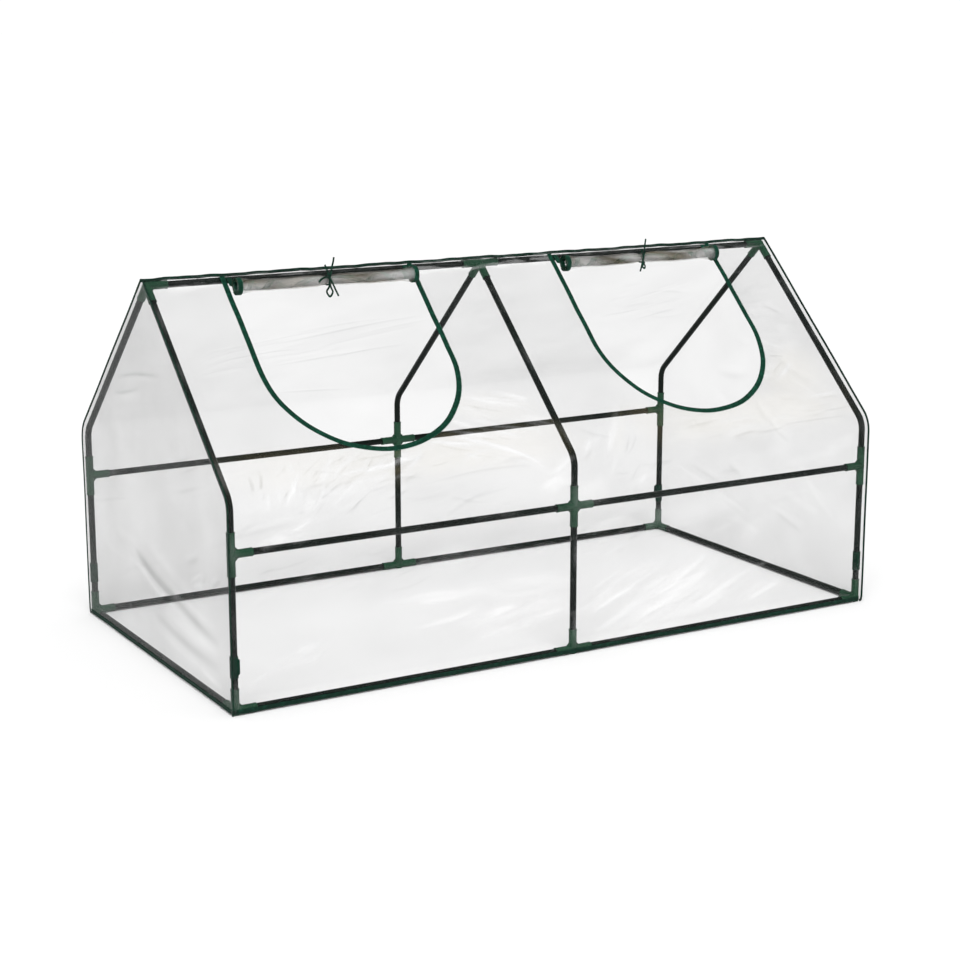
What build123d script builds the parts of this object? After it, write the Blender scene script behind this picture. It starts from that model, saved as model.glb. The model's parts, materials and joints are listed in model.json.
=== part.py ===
from build123d import *
import math
import os

# Mini greenhouse: push-fit steel tubes in plastic connectors, under a clear film cover with
# two windows that roll up.  X runs along the length, the front is -Y, Z is up, and Z = 0 is the
# ground.  All sizes are in millimetres.

# --- Frame, between tube centre lines -----------------------------------------------------
FRAME_LENGTH = 1775.0
FRAME_WIDTH = 900.0
RIDGE_RISE = 893.0            # bottom rail to ridge rail
SIDE_RAIL_RISE = 357.0        # bottom rail to side rail
EAVE_RISE = 474.0             # bottom rail to the bend of the upper tube
EAVE_BEND_RADIUS = 55.0

# --- Tubes and connectors -----------------------------------------------------------------
TUBE_DIAMETER = 16.0
TUBE_WALL = 0.8
SOCKET_CLEARANCE = 0.1        # all round the tube, and at its end
SOCKET_WALL = 1.6
SOCKET_REACH = 50.0           # hub centre to the socket's mouth
TUBE_STOP = 13.0              # hub centre to the bottom of the socket
RIM_WIDTH = 4.0
RIM_PROUD = 0.4
HUB_PROUD = 0.4
WEB_REACH = 26.0              # hub centre to the tip of a web between two sockets
WEB_THICKNESS = 5.0
FOOT_SIZE = 15.0
FOOT_DROP = 0.8               # the foot's face below the sockets

# --- Cover --------------------------------------------------------------------------------
FILM_THICKNESS = 0.6
FILM_CLEARANCE = 0.3          # film to the fattest part of a connector
BINDING_WIDTH = 5.0
BINDING_THICKNESS = 2.4
TRIM_GAP = 0.1                # tape to the film that it is sewn to
HEM_HEIGHT = 12.0
HEM_THICKNESS = 1.0
HEM_LIFT = 2.0                # hem above the ground

# --- Windows in the front slope -----------------------------------------------------------
WINDOW_CENTRE = 453.0         # from the middle of the length
WINDOW_HALF_WIDTH = 249.0     # to the middle of the zip
WINDOW_STRAIGHT = 284.0       # down the slope from the ridge rail to where the arc starts
WINDOW_TOP = 8.0              # down the slope from the ridge rail to the hole's upper edge
ZIP_TAPE_WIDTH = 12.0
ZIP_TAPE_THICKNESS = 1.2

# --- Rolled flaps -------------------------------------------------------------------------
MOVING_GAP = 0.4              # between a moving piece and what it passes
FLAP_INSET = 9.0              # the zip's middle to the flap's edge
ROLL_DISTANCE = 48.0          # down the slope from the ridge rail to the roll's axis
ROLL_RADIUS = 15.0
ROLL_WALL = 5.0
COIL_RADIUS = 21.0            # rolled zip tape at each end of the roll
COIL_WIDTH = 13.0
TIE_WIDTH = 6.0
TIE_THICKNESS = 1.0
TIE_KNOT = 7.0
TIE_TAIL = 26.0

# --- Zip sliders and leg straps -----------------------------------------------------------
SLIDER_DISTANCE = 36.0        # down the slope from the ridge rail to the slider's middle
SLIDER_WIDTH = 8.0
SLIDER_LENGTH = 11.0
SLIDER_THICKNESS = 4.0
PULL_WIDTH = 5.0
PULL_LENGTH = 22.0
PULL_THICKNESS = 1.0
STRAP_HEIGHT = 50.0
STRAP_LIFT = 86.0             # ground to the strap's lower edge
STRAP_THICKNESS = 1.0
STRAP_TAB = 10.0

# --- Worked out from the sizes above ------------------------------------------------------
TUBE_RADIUS = TUBE_DIAMETER / 2
BORE_RADIUS = TUBE_RADIUS + SOCKET_CLEARANCE
SOCKET_RADIUS = BORE_RADIUS + SOCKET_WALL
BASE = SOCKET_RADIUS + FOOT_DROP
SIDE_RAIL = BASE + SIDE_RAIL_RISE
EAVE = BASE + EAVE_RISE
RIDGE = BASE + RIDGE_RISE
HALF_LENGTH = FRAME_LENGTH / 2
HALF_WIDTH = FRAME_WIDTH / 2
SLOPE = math.atan2(RIDGE - EAVE, HALF_WIDTH)
FILM_INSIDE = SOCKET_RADIUS + max(RIM_PROUD, HUB_PROUD) + FILM_CLEARANCE
FILM_OUTSIDE = FILM_INSIDE + FILM_THICKNESS
BINDING_INSIDE = FILM_OUTSIDE + TRIM_GAP
ZIP_INSIDE = FILM_OUTSIDE + TRIM_GAP
ZIP_OUTSIDE = ZIP_INSIDE + ZIP_TAPE_THICKNESS
FLAP_INSIDE = ZIP_OUTSIDE + MOVING_GAP
FLAP_OUTSIDE = FLAP_INSIDE + FILM_THICKNESS
FLAP_HALF_WIDTH = WINDOW_HALF_WIDTH - FLAP_INSET
ROLL_OFFSET = FLAP_OUTSIDE + MOVING_GAP + COIL_RADIUS

SIDES = {"front": -1, "back": 1}
FRAMES = {"left": -HALF_LENGTH, "middle": 0.0, "right": HALF_LENGTH}
BAYS = {"left": -1, "right": 1}
UP = Vector(0, 0, 1)
LENGTHWISE = Vector(1, 0, 0)


def save(name, *solids):
    """Write one node; more than one solid makes a group of separate pieces."""
    shape = solids[0] if len(solids) == 1 else Compound(children=list(solids))
    export_step(shape, f"parts/{name}.step")


# --- Frame --------------------------------------------------------------------------------
def straight_tube(start, end):
    """A tube between two hub centres, pushed home in both sockets."""
    run = end - start
    along = run.normalized()
    inset = TUBE_STOP + SOCKET_CLEARANCE
    ring = Circle(TUBE_RADIUS) - Circle(TUBE_RADIUS - TUBE_WALL)
    return extrude(Plane(start + along * inset, z_dir=along) * ring, run.length - 2 * inset)


def bent_tube(foot, eave, ridge):
    """The upper tube: a short upright, the bend at the eave and the rafter, in one piece."""
    inset = TUBE_STOP + SOCKET_CLEARANCE
    start = foot + UP * inset
    end = ridge + (eave - ridge).normalized() * inset
    path = FilletPolyline(start, eave, end, radius=EAVE_BEND_RADIUS)
    ring = Circle(TUBE_RADIUS) - Circle(TUBE_RADIUS - TUBE_WALL)
    return sweep(Plane(start, z_dir=UP) * ring, path=path)


def rod(start, along, length, radius):
    return extrude(Plane(start, z_dir=along) * Circle(radius), length)


def web(centre, one, two):
    """A flat gusset in the corner between two sockets."""
    plane = Plane(centre, x_dir=one, z_dir=one.cross(two).normalized())
    tip = Vector(one.dot(two), two.dot(plane.y_dir), 0) * WEB_REACH
    outline = Polyline((0, 0), (WEB_REACH, 0), (tip.X, tip.Y), close=True)
    return extrude(plane * make_face(outline), WEB_THICKNESS / 2, both=True)


def connector(centre, ways, foot=False):
    """A moulded connector with one socket for each way, and a foot where it stands on the ground."""
    body = Pos(*centre) * Sphere(SOCKET_RADIUS + HUB_PROUD)
    for way in ways:
        body += rod(centre, way, SOCKET_REACH, SOCKET_RADIUS)
        body += rod(centre + way * (SOCKET_REACH - RIM_WIDTH), way, RIM_WIDTH, SOCKET_RADIUS + RIM_PROUD)
    for index, one in enumerate(ways):
        for two in ways[index + 1:]:
            if 40 < one.get_angle(two) < 140:
                body += web(centre, one, two)
    if foot:
        pad = RectangleRounded(FOOT_SIZE, FOOT_SIZE, FOOT_SIZE / 5)
        body += extrude(Plane(Vector(centre.X, centre.Y, 0)) * pad, centre.Z)
    for way in ways:
        body -= rod(centre + way * TUBE_STOP, way, SOCKET_REACH, BORE_RADIUS)
    return body.solid()


def make_frame():
    for side, sign in SIDES.items():
        y = sign * HALF_WIDTH
        inward = Vector(0, -sign, 0)
        for place, x in FRAMES.items():
            base, rail = Vector(x, y, BASE), Vector(x, y, SIDE_RAIL)
            eave, ridge = Vector(x, y, EAVE), Vector(x, 0, RIDGE)
            save(f"leg_{side}_{place}", straight_tube(base, rail))
            save(f"upper_tube_{side}_{place}", bent_tube(rail, eave, ridge))
            rail_ways = [LENGTHWISE * step for step in (-1, 1) if abs(x + step) < HALF_LENGTH]
            if place == "middle":
                save(f"base_tee_{side}", connector(base, rail_ways + [UP], foot=True))
                save(f"side_cross_{side}", connector(rail, rail_ways + [UP, -UP]))
            else:
                corner_ways = rail_ways + [inward, UP]
                save(f"corner_connector_{side}_{place}", connector(base, corner_ways, foot=True))
                save(f"side_tee_{side}_{place}", connector(rail, rail_ways + [UP, -UP]))
        for bay, way in BAYS.items():
            for level, z in (("bottom", BASE), ("side", SIDE_RAIL)):
                start, end = Vector(0, y, z), Vector(way * HALF_LENGTH, y, z)
                save(f"{level}_rail_{side}_{bay}", straight_tube(start, end))

    for bay, way in BAYS.items():
        x = way * HALF_LENGTH
        save(f"bottom_rail_end_{bay}",
             straight_tube(Vector(x, -HALF_WIDTH, BASE), Vector(x, HALF_WIDTH, BASE)))
        save(f"ridge_rail_{bay}", straight_tube(Vector(0, 0, RIDGE), Vector(x, 0, RIDGE)))

    rafters = [Vector(0, sign * math.cos(SLOPE), -math.sin(SLOPE)) for sign in SIDES.values()]
    for place, x in FRAMES.items():
        rail_ways = [LENGTHWISE * step for step in (-1, 1) if abs(x + step) < HALF_LENGTH]
        save(f"ridge_connector_{place}", connector(Vector(x, 0, RIDGE), rafters + rail_ways))


# --- Cover --------------------------------------------------------------------------------
def outline(offset, bottom):
    """Half of the cross-section, from the hem to the ridge, this far outside the tube centres."""
    return [
        (-HALF_WIDTH - offset, bottom),
        (-HALF_WIDTH - offset, EAVE + offset * (1 - math.sin(SLOPE)) / math.cos(SLOPE)),
        (0.0, RIDGE + offset / math.cos(SLOPE)),
    ]


def section_plane(x):
    """A plane across the length: its own X is the width and its own Y is the height."""
    return Plane(Vector(x, 0, 0), x_dir=Vector(0, 1, 0), z_dir=LENGTHWISE)


def lengthwise_plate(points, half_length):
    profile = section_plane(-half_length) * make_face(Polyline(*points, close=True))
    return extrude(profile, 2 * half_length)


def gable_face(offset, bottom):
    half = outline(offset, bottom)
    other = [(-y, z) for y, z in reversed(half[:-1])]
    return make_face(Polyline(*half, *other, close=True))


def slope_plane():
    """The front slope through the ridge rail's centre: its own Y points up the slope, Z outwards."""
    return Plane(Vector(0, 0, RIDGE), x_dir=LENGTHWISE,
                 z_dir=Vector(0, -math.sin(SLOPE), math.cos(SLOPE)))


def on_slope(sketch, inside, thickness):
    """Raise a sketch on the front slope into a plate, inside being its distance from the tubes."""
    return extrude(slope_plane().offset(inside) * sketch, thickness)


def window_outline(middle, half_width, top):
    straight = WINDOW_STRAIGHT - top
    return (Pos(middle, -WINDOW_STRAIGHT) * Circle(half_width)
            + Pos(middle, -top - straight / 2) * Rectangle(2 * half_width, straight))


def make_cover():
    inner, outer = outline(FILM_INSIDE, HEM_LIFT), outline(FILM_OUTSIDE, HEM_LIFT)
    half_length = HALF_LENGTH + FILM_INSIDE
    wall = lengthwise_plate([inner[0], inner[1], outer[1], outer[0]], half_length)
    roof = lengthwise_plate([inner[1], inner[2], outer[2], outer[1]], half_length)
    save("cover_back_wall", mirror(wall, about=Plane.XZ))
    save("cover_back_roof", mirror(roof, about=Plane.XZ))
    save("cover_front_wall", wall)
    for way in BAYS.values():
        hole = window_outline(way * WINDOW_CENTRE, WINDOW_HALF_WIDTH - ZIP_TAPE_WIDTH / 4, WINDOW_TOP)
        roof -= on_slope(hole, 0, 2 * FILM_OUTSIDE)
    save("cover_front_roof", roof.solid())

    binding_bottom = HEM_LIFT + HEM_HEIGHT + TRIM_GAP
    binding_outside = BINDING_INSIDE + BINDING_WIDTH
    band = gable_face(binding_outside, binding_bottom) - gable_face(BINDING_INSIDE, binding_bottom - 1)
    bindings = []
    for bay, way in BAYS.items():
        gable = extrude(section_plane(way * half_length) * gable_face(FILM_OUTSIDE, HEM_LIFT),
                        way * FILM_THICKNESS)
        save(f"cover_gable_{bay}", gable)
        middle = way * (half_length + FILM_THICKNESS / 2)
        binding = extrude(section_plane(middle) * band, BINDING_THICKNESS / 2, both=True)
        bindings.append(binding.solid())
    save("gable_bindings", *bindings)

    ridge_foot = RIDGE + BINDING_INSIDE / math.cos(SLOPE)
    ridge_length = FRAME_LENGTH + 2 * (FILM_INSIDE - BINDING_THICKNESS / 2)
    save("ridge_binding", Pos(0, 0, ridge_foot) * Box(
        ridge_length, BINDING_THICKNESS, BINDING_WIDTH, align=(Align.CENTER, Align.CENTER, Align.MIN)))

    hem_inside = FILM_OUTSIDE + TRIM_GAP
    loops = [Rectangle(FRAME_LENGTH + 2 * edge, FRAME_WIDTH + 2 * edge)
             for edge in (hem_inside + HEM_THICKNESS, hem_inside)]
    save("hem_binding", extrude(Plane.XY.offset(HEM_LIFT) * (loops[0] - loops[1]), HEM_HEIGHT))


def make_windows():
    zips = []
    for bay, way in BAYS.items():
        middle = way * WINDOW_CENTRE
        zip_band = (window_outline(middle, WINDOW_HALF_WIDTH + ZIP_TAPE_WIDTH / 2, WINDOW_TOP)
                    - window_outline(middle, WINDOW_HALF_WIDTH - ZIP_TAPE_WIDTH / 2, WINDOW_TOP - 1))
        zips.append(on_slope(zip_band, ZIP_INSIDE, ZIP_TAPE_THICKNESS).solid())
        make_flap(bay, middle)
        make_slider(bay, middle + WINDOW_HALF_WIDTH)
    save("window_zips", *zips)


def make_flap(bay, middle):
    """The part of the flap that hangs flat, the roll, its rolled zip and its tie."""
    flap_top = -math.tan(SLOPE) * FLAP_OUTSIDE
    flap_length = ROLL_DISTANCE - flap_top
    strip = Pos(middle, -flap_top - flap_length / 2) * Rectangle(2 * FLAP_HALF_WIDTH, flap_length)
    ridge_cut = Pos(0, 0, RIDGE) * Box(
        2 * FRAME_LENGTH, BINDING_THICKNESS + 2 * MOVING_GAP, 4 * FLAP_OUTSIDE)
    flap = on_slope(strip, FLAP_INSIDE, FILM_THICKNESS) - ridge_cut
    save(f"window_flap_{bay}", flap.solid())

    axis = slope_plane().offset(ROLL_OFFSET).from_local_coords(Vector(middle, -ROLL_DISTANCE, 0))

    def barrel(centre_x, width, outside, inside):
        ring = Circle(outside) - Circle(inside)
        start = Vector(centre_x - width / 2, axis.Y, axis.Z)
        return extrude(Plane(start, z_dir=LENGTHWISE) * ring, width)

    save(f"window_roll_{bay}",
         barrel(middle, 2 * FLAP_HALF_WIDTH, ROLL_RADIUS, ROLL_RADIUS - ROLL_WALL))
    coil_shift = FLAP_HALF_WIDTH - COIL_WIDTH / 2
    save(f"rolled_zip_{bay}", *[
        barrel(middle + end * coil_shift, COIL_WIDTH, COIL_RADIUS, ROLL_RADIUS + TRIM_GAP)
        for end in (-1, 1)])

    inside = ROLL_RADIUS + MOVING_GAP
    outside = inside + TIE_THICKNESS
    tie = barrel(middle, TIE_WIDTH, outside, inside)
    above = Pos(axis.X, axis.Y, axis.Z + inside)
    aligned = (Align.CENTER, Align.CENTER, Align.MIN)
    tie += above * Box(TIE_KNOT, TIE_KNOT, TIE_KNOT, align=aligned)
    tie += above * Box(TIE_THICKNESS, TIE_WIDTH, TIE_TAIL, align=aligned)
    save(f"roll_tie_{bay}", tie.solid())


def make_slider(bay, x):
    body = Pos(x, -SLIDER_DISTANCE) * RectangleRounded(SLIDER_WIDTH, SLIDER_LENGTH, SLIDER_WIDTH / 3)
    pull = Pos(x, -SLIDER_DISTANCE - PULL_LENGTH / 2) * RectangleRounded(
        PULL_WIDTH, PULL_LENGTH, PULL_WIDTH / 3)
    seat = ZIP_OUTSIDE + MOVING_GAP
    slider = on_slope(body, seat, SLIDER_THICKNESS)
    slider += on_slope(pull, seat + SLIDER_THICKNESS, PULL_THICKNESS)
    save(f"zip_slider_{bay}", slider.solid())


def make_straps():
    """Hook-and-loop straps that hold the cover's corners to the corner legs."""
    inside = TUBE_RADIUS + MOVING_GAP
    outside = inside + STRAP_THICKNESS
    straps = []
    for sign in SIDES.values():
        for way in BAYS.values():
            loop = Circle(outside) - Circle(inside)
            tail = Pos(-way * (inside + STRAP_TAB / 2), 0) * Rectangle(STRAP_TAB, STRAP_THICKNESS)
            strap = extrude(loop, STRAP_HEIGHT) + extrude(tail, STRAP_HEIGHT)
            straps.append((Pos(way * HALF_LENGTH, sign * HALF_WIDTH, STRAP_LIFT) * strap).solid())
    save("leg_straps", *straps)


def main():
    os.makedirs("parts", exist_ok=True)
    make_frame()
    make_cover()
    make_windows()
    make_straps()


if __name__ == "__main__":
    main()
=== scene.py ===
import json
import math

import bmesh
import bpy
import numpy as np
from bpy.props import FloatProperty, FloatVectorProperty, IntProperty, PointerProperty
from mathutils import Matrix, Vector
from mathutils.geometry import delaunay_2d_cdt


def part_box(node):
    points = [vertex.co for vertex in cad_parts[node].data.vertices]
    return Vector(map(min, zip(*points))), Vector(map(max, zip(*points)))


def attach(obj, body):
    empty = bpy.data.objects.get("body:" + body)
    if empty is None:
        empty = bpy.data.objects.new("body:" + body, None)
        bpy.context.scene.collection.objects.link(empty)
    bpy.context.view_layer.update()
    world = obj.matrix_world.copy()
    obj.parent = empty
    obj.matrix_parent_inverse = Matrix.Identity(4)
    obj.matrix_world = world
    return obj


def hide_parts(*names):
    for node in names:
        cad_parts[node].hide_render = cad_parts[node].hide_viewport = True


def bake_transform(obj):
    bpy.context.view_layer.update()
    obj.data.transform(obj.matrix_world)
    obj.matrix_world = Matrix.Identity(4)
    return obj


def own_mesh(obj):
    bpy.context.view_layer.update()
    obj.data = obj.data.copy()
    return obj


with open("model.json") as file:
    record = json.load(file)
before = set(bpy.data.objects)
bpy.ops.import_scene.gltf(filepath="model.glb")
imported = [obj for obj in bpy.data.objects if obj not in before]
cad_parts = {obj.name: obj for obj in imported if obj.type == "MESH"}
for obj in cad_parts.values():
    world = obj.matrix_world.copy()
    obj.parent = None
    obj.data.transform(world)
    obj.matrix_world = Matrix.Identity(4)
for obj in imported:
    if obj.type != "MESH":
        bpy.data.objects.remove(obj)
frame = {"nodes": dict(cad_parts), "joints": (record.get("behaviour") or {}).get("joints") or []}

bl_info = {
    "name": "Mini greenhouse",
    "version": (1, 0, 0),
    "blender": (4, 5, 0),
    "location": "View3D > Sidebar > Greenhouse",
    "description": "Dresses a small tube-frame greenhouse: clear film, tapes, zips and roll-up windows",
    "category": "Object",
}

MM = 0.001
ROOT = "frame_and_cover"
BAYS = {"left": -1, "right": 1}
GABLES = {"left": -1, "right": 1}
SIDES = {"front": -1, "back": 1}


# --- Sizes read from the frame ------------------------------------------------------------
def middle(node):
    low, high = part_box(node)
    return (low + high) / 2


JOINTS = {joint["name"]: joint for joint in frame["joints"]}
LEG_LOW, LEG_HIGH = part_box("leg_front_left")
TUBE_RADIUS = (LEG_HIGH.x - LEG_LOW.x) / 2
HALF_LENGTH = -middle("leg_front_left").x
HALF_WIDTH = -middle("leg_front_left").y
BASE = middle("bottom_rail_front_left").z
SIDE_RAIL = middle("side_rail_front_left").z
RIDGE = middle("ridge_rail_left").z
DOWN = Vector(JOINTS["window_left_unroll"]["axis"]).normalized()
OUT = Vector((0, DOWN.z, -DOWN.y))
SLOPE = math.atan2(-DOWN.z, -DOWN.y)
EAVE = RIDGE - HALF_WIDTH * math.tan(SLOPE)
TRAVEL = JOINTS["window_left_unroll"]["range_m"][1]
WINDOW_CENTRE = middle("window_roll_right").x
ZIP_HALF_WIDTH = middle("zip_slider_right").x - WINDOW_CENTRE
ROLL_LOW, ROLL_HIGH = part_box("window_roll_right")
ROLL_RADIUS = (ROLL_HIGH.z - ROLL_LOW.z) / 2
COIL_LOW, COIL_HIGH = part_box("rolled_zip_right")
COIL_RADIUS = (COIL_HIGH.z - COIL_LOW.z) / 2
ROLL_AXIS = middle("window_roll_right") - Vector((WINDOW_CENTRE, 0, RIDGE))
ROLL_DISTANCE = ROLL_AXIS.dot(DOWN)
ROLL_OFFSET = ROLL_AXIS.dot(OUT)
STRAP_LOW, STRAP_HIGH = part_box("leg_straps")

# --- Sizes of the cover that the frame doesn't hold ---------------------------------------
BEND_RADIUS = 55 * MM          # centre line of the upper tube at the eave
FILM_OFFSET = 10.6 * MM        # tube centre to the film
HEM = 3 * MM                   # ground to the film's lower edge
FIN = 5 * MM                   # seam allowance that stands out under the binding
WINDOW_STRAIGHT = 284 * MM     # ridge rail to where the window's arc starts
WINDOW_TOP = 6 * MM
TAPE_HALF = 6.5 * MM


def on_slope(x, down, out=0.0):
    """A point on the front slope: x along the ridge, this far down from the ridge rail and out."""
    return Vector((x, 0, RIDGE)) + DOWN * down + OUT * out


# --- Settings -----------------------------------------------------------------------------
class FrameFinish(bpy.types.PropertyGroup):
    tube_colour: FloatVectorProperty(
        name="Tube colour", description="Powder coat on the steel tubes",
        default=(0.0030, 0.0060, 0.0045), subtype="COLOR", min=0, max=1)
    connector_colour: FloatVectorProperty(
        name="Connector colour", description="Moulded plastic of the connectors",
        default=(0.008, 0.046, 0.022), subtype="COLOR", min=0, max=1)


class CoverFinish(bpy.types.PropertyGroup):
    film_colour: FloatVectorProperty(
        name="Film colour", description="Grey cast of the clear film",
        default=(0.03, 0.032, 0.031), subtype="COLOR", min=0, max=1)
    warm_colour: FloatVectorProperty(
        name="Warm colour", description="Faint warm cast where the film is creased over the eaves",
        default=(0.40, 0.33, 0.17), subtype="COLOR", min=0, max=1)
    film_density: FloatProperty(
        name="Film density", description="How much one layer of film dims what is behind it, face on",
        default=0.088, min=0.02, max=1)
    fold_depth: FloatProperty(
        name="Fold depth", description="Height of the soft swells in the film",
        default=2.5 * MM, min=0, max=10 * MM, unit="LENGTH")
    crease_depth: FloatProperty(
        name="Crease depth", description="Height of the sharp creases in the film",
        default=1.6 * MM, min=0, max=5 * MM, unit="LENGTH")
    tape_colour: FloatVectorProperty(
        name="Tape colour", description="Woven binding tape on the seams",
        default=(0.004, 0.027, 0.016), subtype="COLOR", min=0, max=1)
    mesh_step: FloatProperty(
        name="Mesh step", description="Spacing of the film's mesh between its creases",
        default=11 * MM, min=4 * MM, max=40 * MM, unit="LENGTH")


class WindowFinish(bpy.types.PropertyGroup):
    zip_colour: FloatVectorProperty(
        name="Zip colour", description="Zip tape and teeth",
        default=(0.004, 0.046, 0.026), subtype="COLOR", min=0, max=1)
    tooth_pitch: FloatProperty(
        name="Tooth pitch", description="Spacing of the zip's teeth along its tape",
        default=2.4 * MM, min=1 * MM, max=6 * MM, unit="LENGTH")
    stitch_pitch: FloatProperty(
        name="Stitch pitch", description="Spacing of the stitches along a tape",
        default=4.5 * MM, min=2 * MM, max=12 * MM, unit="LENGTH")
    roll_turns: IntProperty(
        name="Steps in the roll", description="Mesh steps along the rolled film",
        default=300, min=60, max=600)


class StageFinish(bpy.types.PropertyGroup):
    floor_size: FloatProperty(
        name="Floor size", description="Side of the square floor",
        default=400, min=4, max=1000, unit="LENGTH")
    sun_strength: FloatProperty(
        name="Sun strength", description="Broad light that keeps the floor white",
        default=2.35, min=0, max=20)
    floor_colour: FloatVectorProperty(
        name="Floor colour", description="Plain pale floor",
        default=(0.93, 0.93, 0.93), subtype="COLOR", min=0, max=1)


# --- Materials ----------------------------------------------------------------------------
class Painter:
    """A new material with its shader, and short calls for the nodes that feed it."""

    def __init__(self, name):
        self.material = bpy.data.materials.new("look_" + name)
        self.material.use_nodes = True
        self.tree = self.material.node_tree
        self.shader = self.tree.nodes["Principled BSDF"]

    def node(self, kind, **inputs):
        made = self.tree.nodes.new(kind)
        for socket, value in inputs.items():
            self.feed(made.inputs[socket.replace("_", " ")], value)
        return made

    def feed(self, socket, value):
        if isinstance(value, bpy.types.NodeSocket):
            self.tree.links.new(value, socket)
        else:
            socket.default_value = value

    def set(self, **inputs):
        for socket, value in inputs.items():
            self.feed(self.shader.inputs[socket.replace("_", " ")], value)

    def place(self, kind="Object"):
        return self.node("ShaderNodeTexCoord").outputs[kind]

    def noise(self, scale, vector=None, detail=3.0, rough=0.5):
        made = self.node("ShaderNodeTexNoise", Scale=scale, Detail=detail, Roughness=rough)
        self.feed(made.inputs["Vector"], vector or self.place())
        return made.outputs["Fac"]

    def scaled(self, vector, scale):
        return self.node("ShaderNodeMapping", Vector=vector, Scale=scale).outputs[0]

    def spread(self, value, low, high, from_low=0.0, from_high=1.0):
        made = self.node("ShaderNodeMapRange", Value=value)
        made.inputs["From Min"].default_value = from_low
        made.inputs["From Max"].default_value = from_high
        made.inputs["To Min"].default_value = low
        made.inputs["To Max"].default_value = high
        return made.outputs[0]

    def math(self, operation, one, two=0.0):
        made = self.node("ShaderNodeMath")
        made.operation = operation
        self.feed(made.inputs[0], one)
        self.feed(made.inputs[1], two)
        return made.outputs[0]

    def blend(self, share, one, two):
        made = self.node("ShaderNodeMix")
        made.data_type = "RGBA"
        for socket, value in zip(("Factor", "A", "B"), (share, one, two)):
            found = [s for s in made.inputs if s.name == socket and s.enabled]
            self.feed(found[0], value)
        return [s for s in made.outputs if s.enabled][0]

    def attribute(self, name):
        made = self.node("ShaderNodeAttribute")
        made.attribute_name = name
        return made.outputs["Fac"]

    def bump(self, height, distance, strength=1.0):
        made = self.node("ShaderNodeBump", Height=height, Distance=distance, Strength=strength)
        self.set(Normal=made.outputs[0])


def shade(colour, factor):
    return tuple(min(1.0, c * factor) for c in colour[:3]) + (1.0,)


def powder_coat(colour):
    p = Painter("powder_coat")
    patch = p.noise(9.0, detail=4.0)
    p.set(Base_Color=p.blend(p.spread(patch, 0, 1, 0.35, 0.65), shade(colour, 0.7), shade(colour, 1.4)),
          Roughness=p.spread(p.noise(60.0), 0.20, 0.32))
    p.shader.inputs["Specular IOR Level"].default_value = 0.12
    p.bump(p.noise(900.0, detail=2.0), 0.05 * MM, 0.5)
    return p.material


def moulded_plastic(name, colour, roughness=(0.3, 0.45)):
    p = Painter(name)
    patch = p.noise(30.0, detail=3.0)
    p.set(Base_Color=p.blend(p.spread(patch, 0, 1, 0.3, 0.7), shade(colour, 0.82), shade(colour, 1.25)),
          Roughness=p.spread(p.noise(140.0), *roughness))
    p.shader.inputs["Specular IOR Level"].default_value = 0.25
    p.bump(p.noise(1500.0, detail=2.0), 0.06 * MM, 0.6)
    return p.material


def clear_film(name, colour, warm_colour, density):
    """Soft clear film: it dims what is behind it, more at a glancing angle.

    The piece's painted light and shade runs from -1, painted shade that makes a crease dark, to 1, a
    painted white highlight where it shines, and "warm" is the share of its warm cast.
    """
    p = Painter(name)
    painted_light_and_warmth, warm = p.attribute("painted_light_and_warmth"), p.attribute("warm")
    # painted highlight above 0 and painted shade below 0, read from the piece's attribute
    painted_highlight = p.math("MAXIMUM", painted_light_and_warmth, 0.0)
    painted_shade = p.math("MAXIMUM", p.math("MULTIPLY", painted_light_and_warmth, -1.0), 0.0)
    facing = p.node("ShaderNodeLayerWeight", Blend=0.5).outputs["Facing"]
    slant = p.math("MAXIMUM", p.math("SUBTRACT", 1.0, facing), 0.16)
    haze = p.noise(3.2, p.scaled(p.place(), (1.0, 1.6, 1.6)), detail=4.0)
    dim = p.math("MULTIPLY", density, p.spread(haze, 0.8, 1.2, 0.35, 0.65))
    dim = p.math("MULTIPLY", dim, p.math("ADD", p.math("DIVIDE", 0.6, slant), 0.4))
    # painted highlight makes the film clearer and milky white; painted shade makes it denser and darker
    clear = p.math("SUBTRACT", 1.0, p.math("MULTIPLY", painted_highlight, 0.9))
    dim = p.math("ADD", p.math("MULTIPLY", dim, clear), p.math("MULTIPLY", painted_shade, 0.34))
    painted_white = p.math("MULTIPLY", painted_highlight, 0.16)
    alpha = p.math("MINIMUM", p.math("ADD", dim, painted_white), 0.92)
    cast = p.blend(warm, shade(colour, 1.0), shade(warm_colour, 1.0))
    tint = p.blend(p.math("DIVIDE", painted_white, p.math("ADD", alpha, 0.001)), cast, (0.97, 0.97, 0.97, 1.0))
    fine = p.noise(90.0, p.scaled(p.place(), (0.35, 1.0, 1.0)), detail=3.0)
    p.set(Base_Color=tint, Alpha=alpha, Roughness=p.spread(fine, 0.08, 0.2, 0.3, 0.7))
    p.shader.inputs["IOR"].default_value = 1.6
    p.bump(fine, 0.05 * MM, 0.1)
    return p.material


def woven_tape(name, colour, thread=0.9 * MM):
    """Woven polyester tape; its UV map runs along and across the tape in metres."""
    p = Painter(name)
    uv = p.place("UV")
    warp = p.node("ShaderNodeTexWave", Vector=uv, Scale=0.32 / thread, Distortion=0.6)
    warp.bands_direction = "X"
    weft = p.node("ShaderNodeTexWave", Vector=uv, Scale=0.32 / thread, Distortion=0.6)
    weft.bands_direction = "Y"
    weave = p.math("MULTIPLY", warp.outputs["Fac"], weft.outputs["Fac"])
    worn = p.spread(p.noise(110.0, detail=2.0), -0.9, 0.6, 0.3, 0.7)
    p.set(Base_Color=p.blend(p.math("ADD", weave, worn), shade(colour, 0.6), shade(colour, 1.7)),
          Roughness=p.spread(weave, 0.75, 0.5))
    p.shader.inputs["Specular IOR Level"].default_value = 0.15
    p.bump(weave, 0.25 * MM, 0.8)
    return p.material


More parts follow.
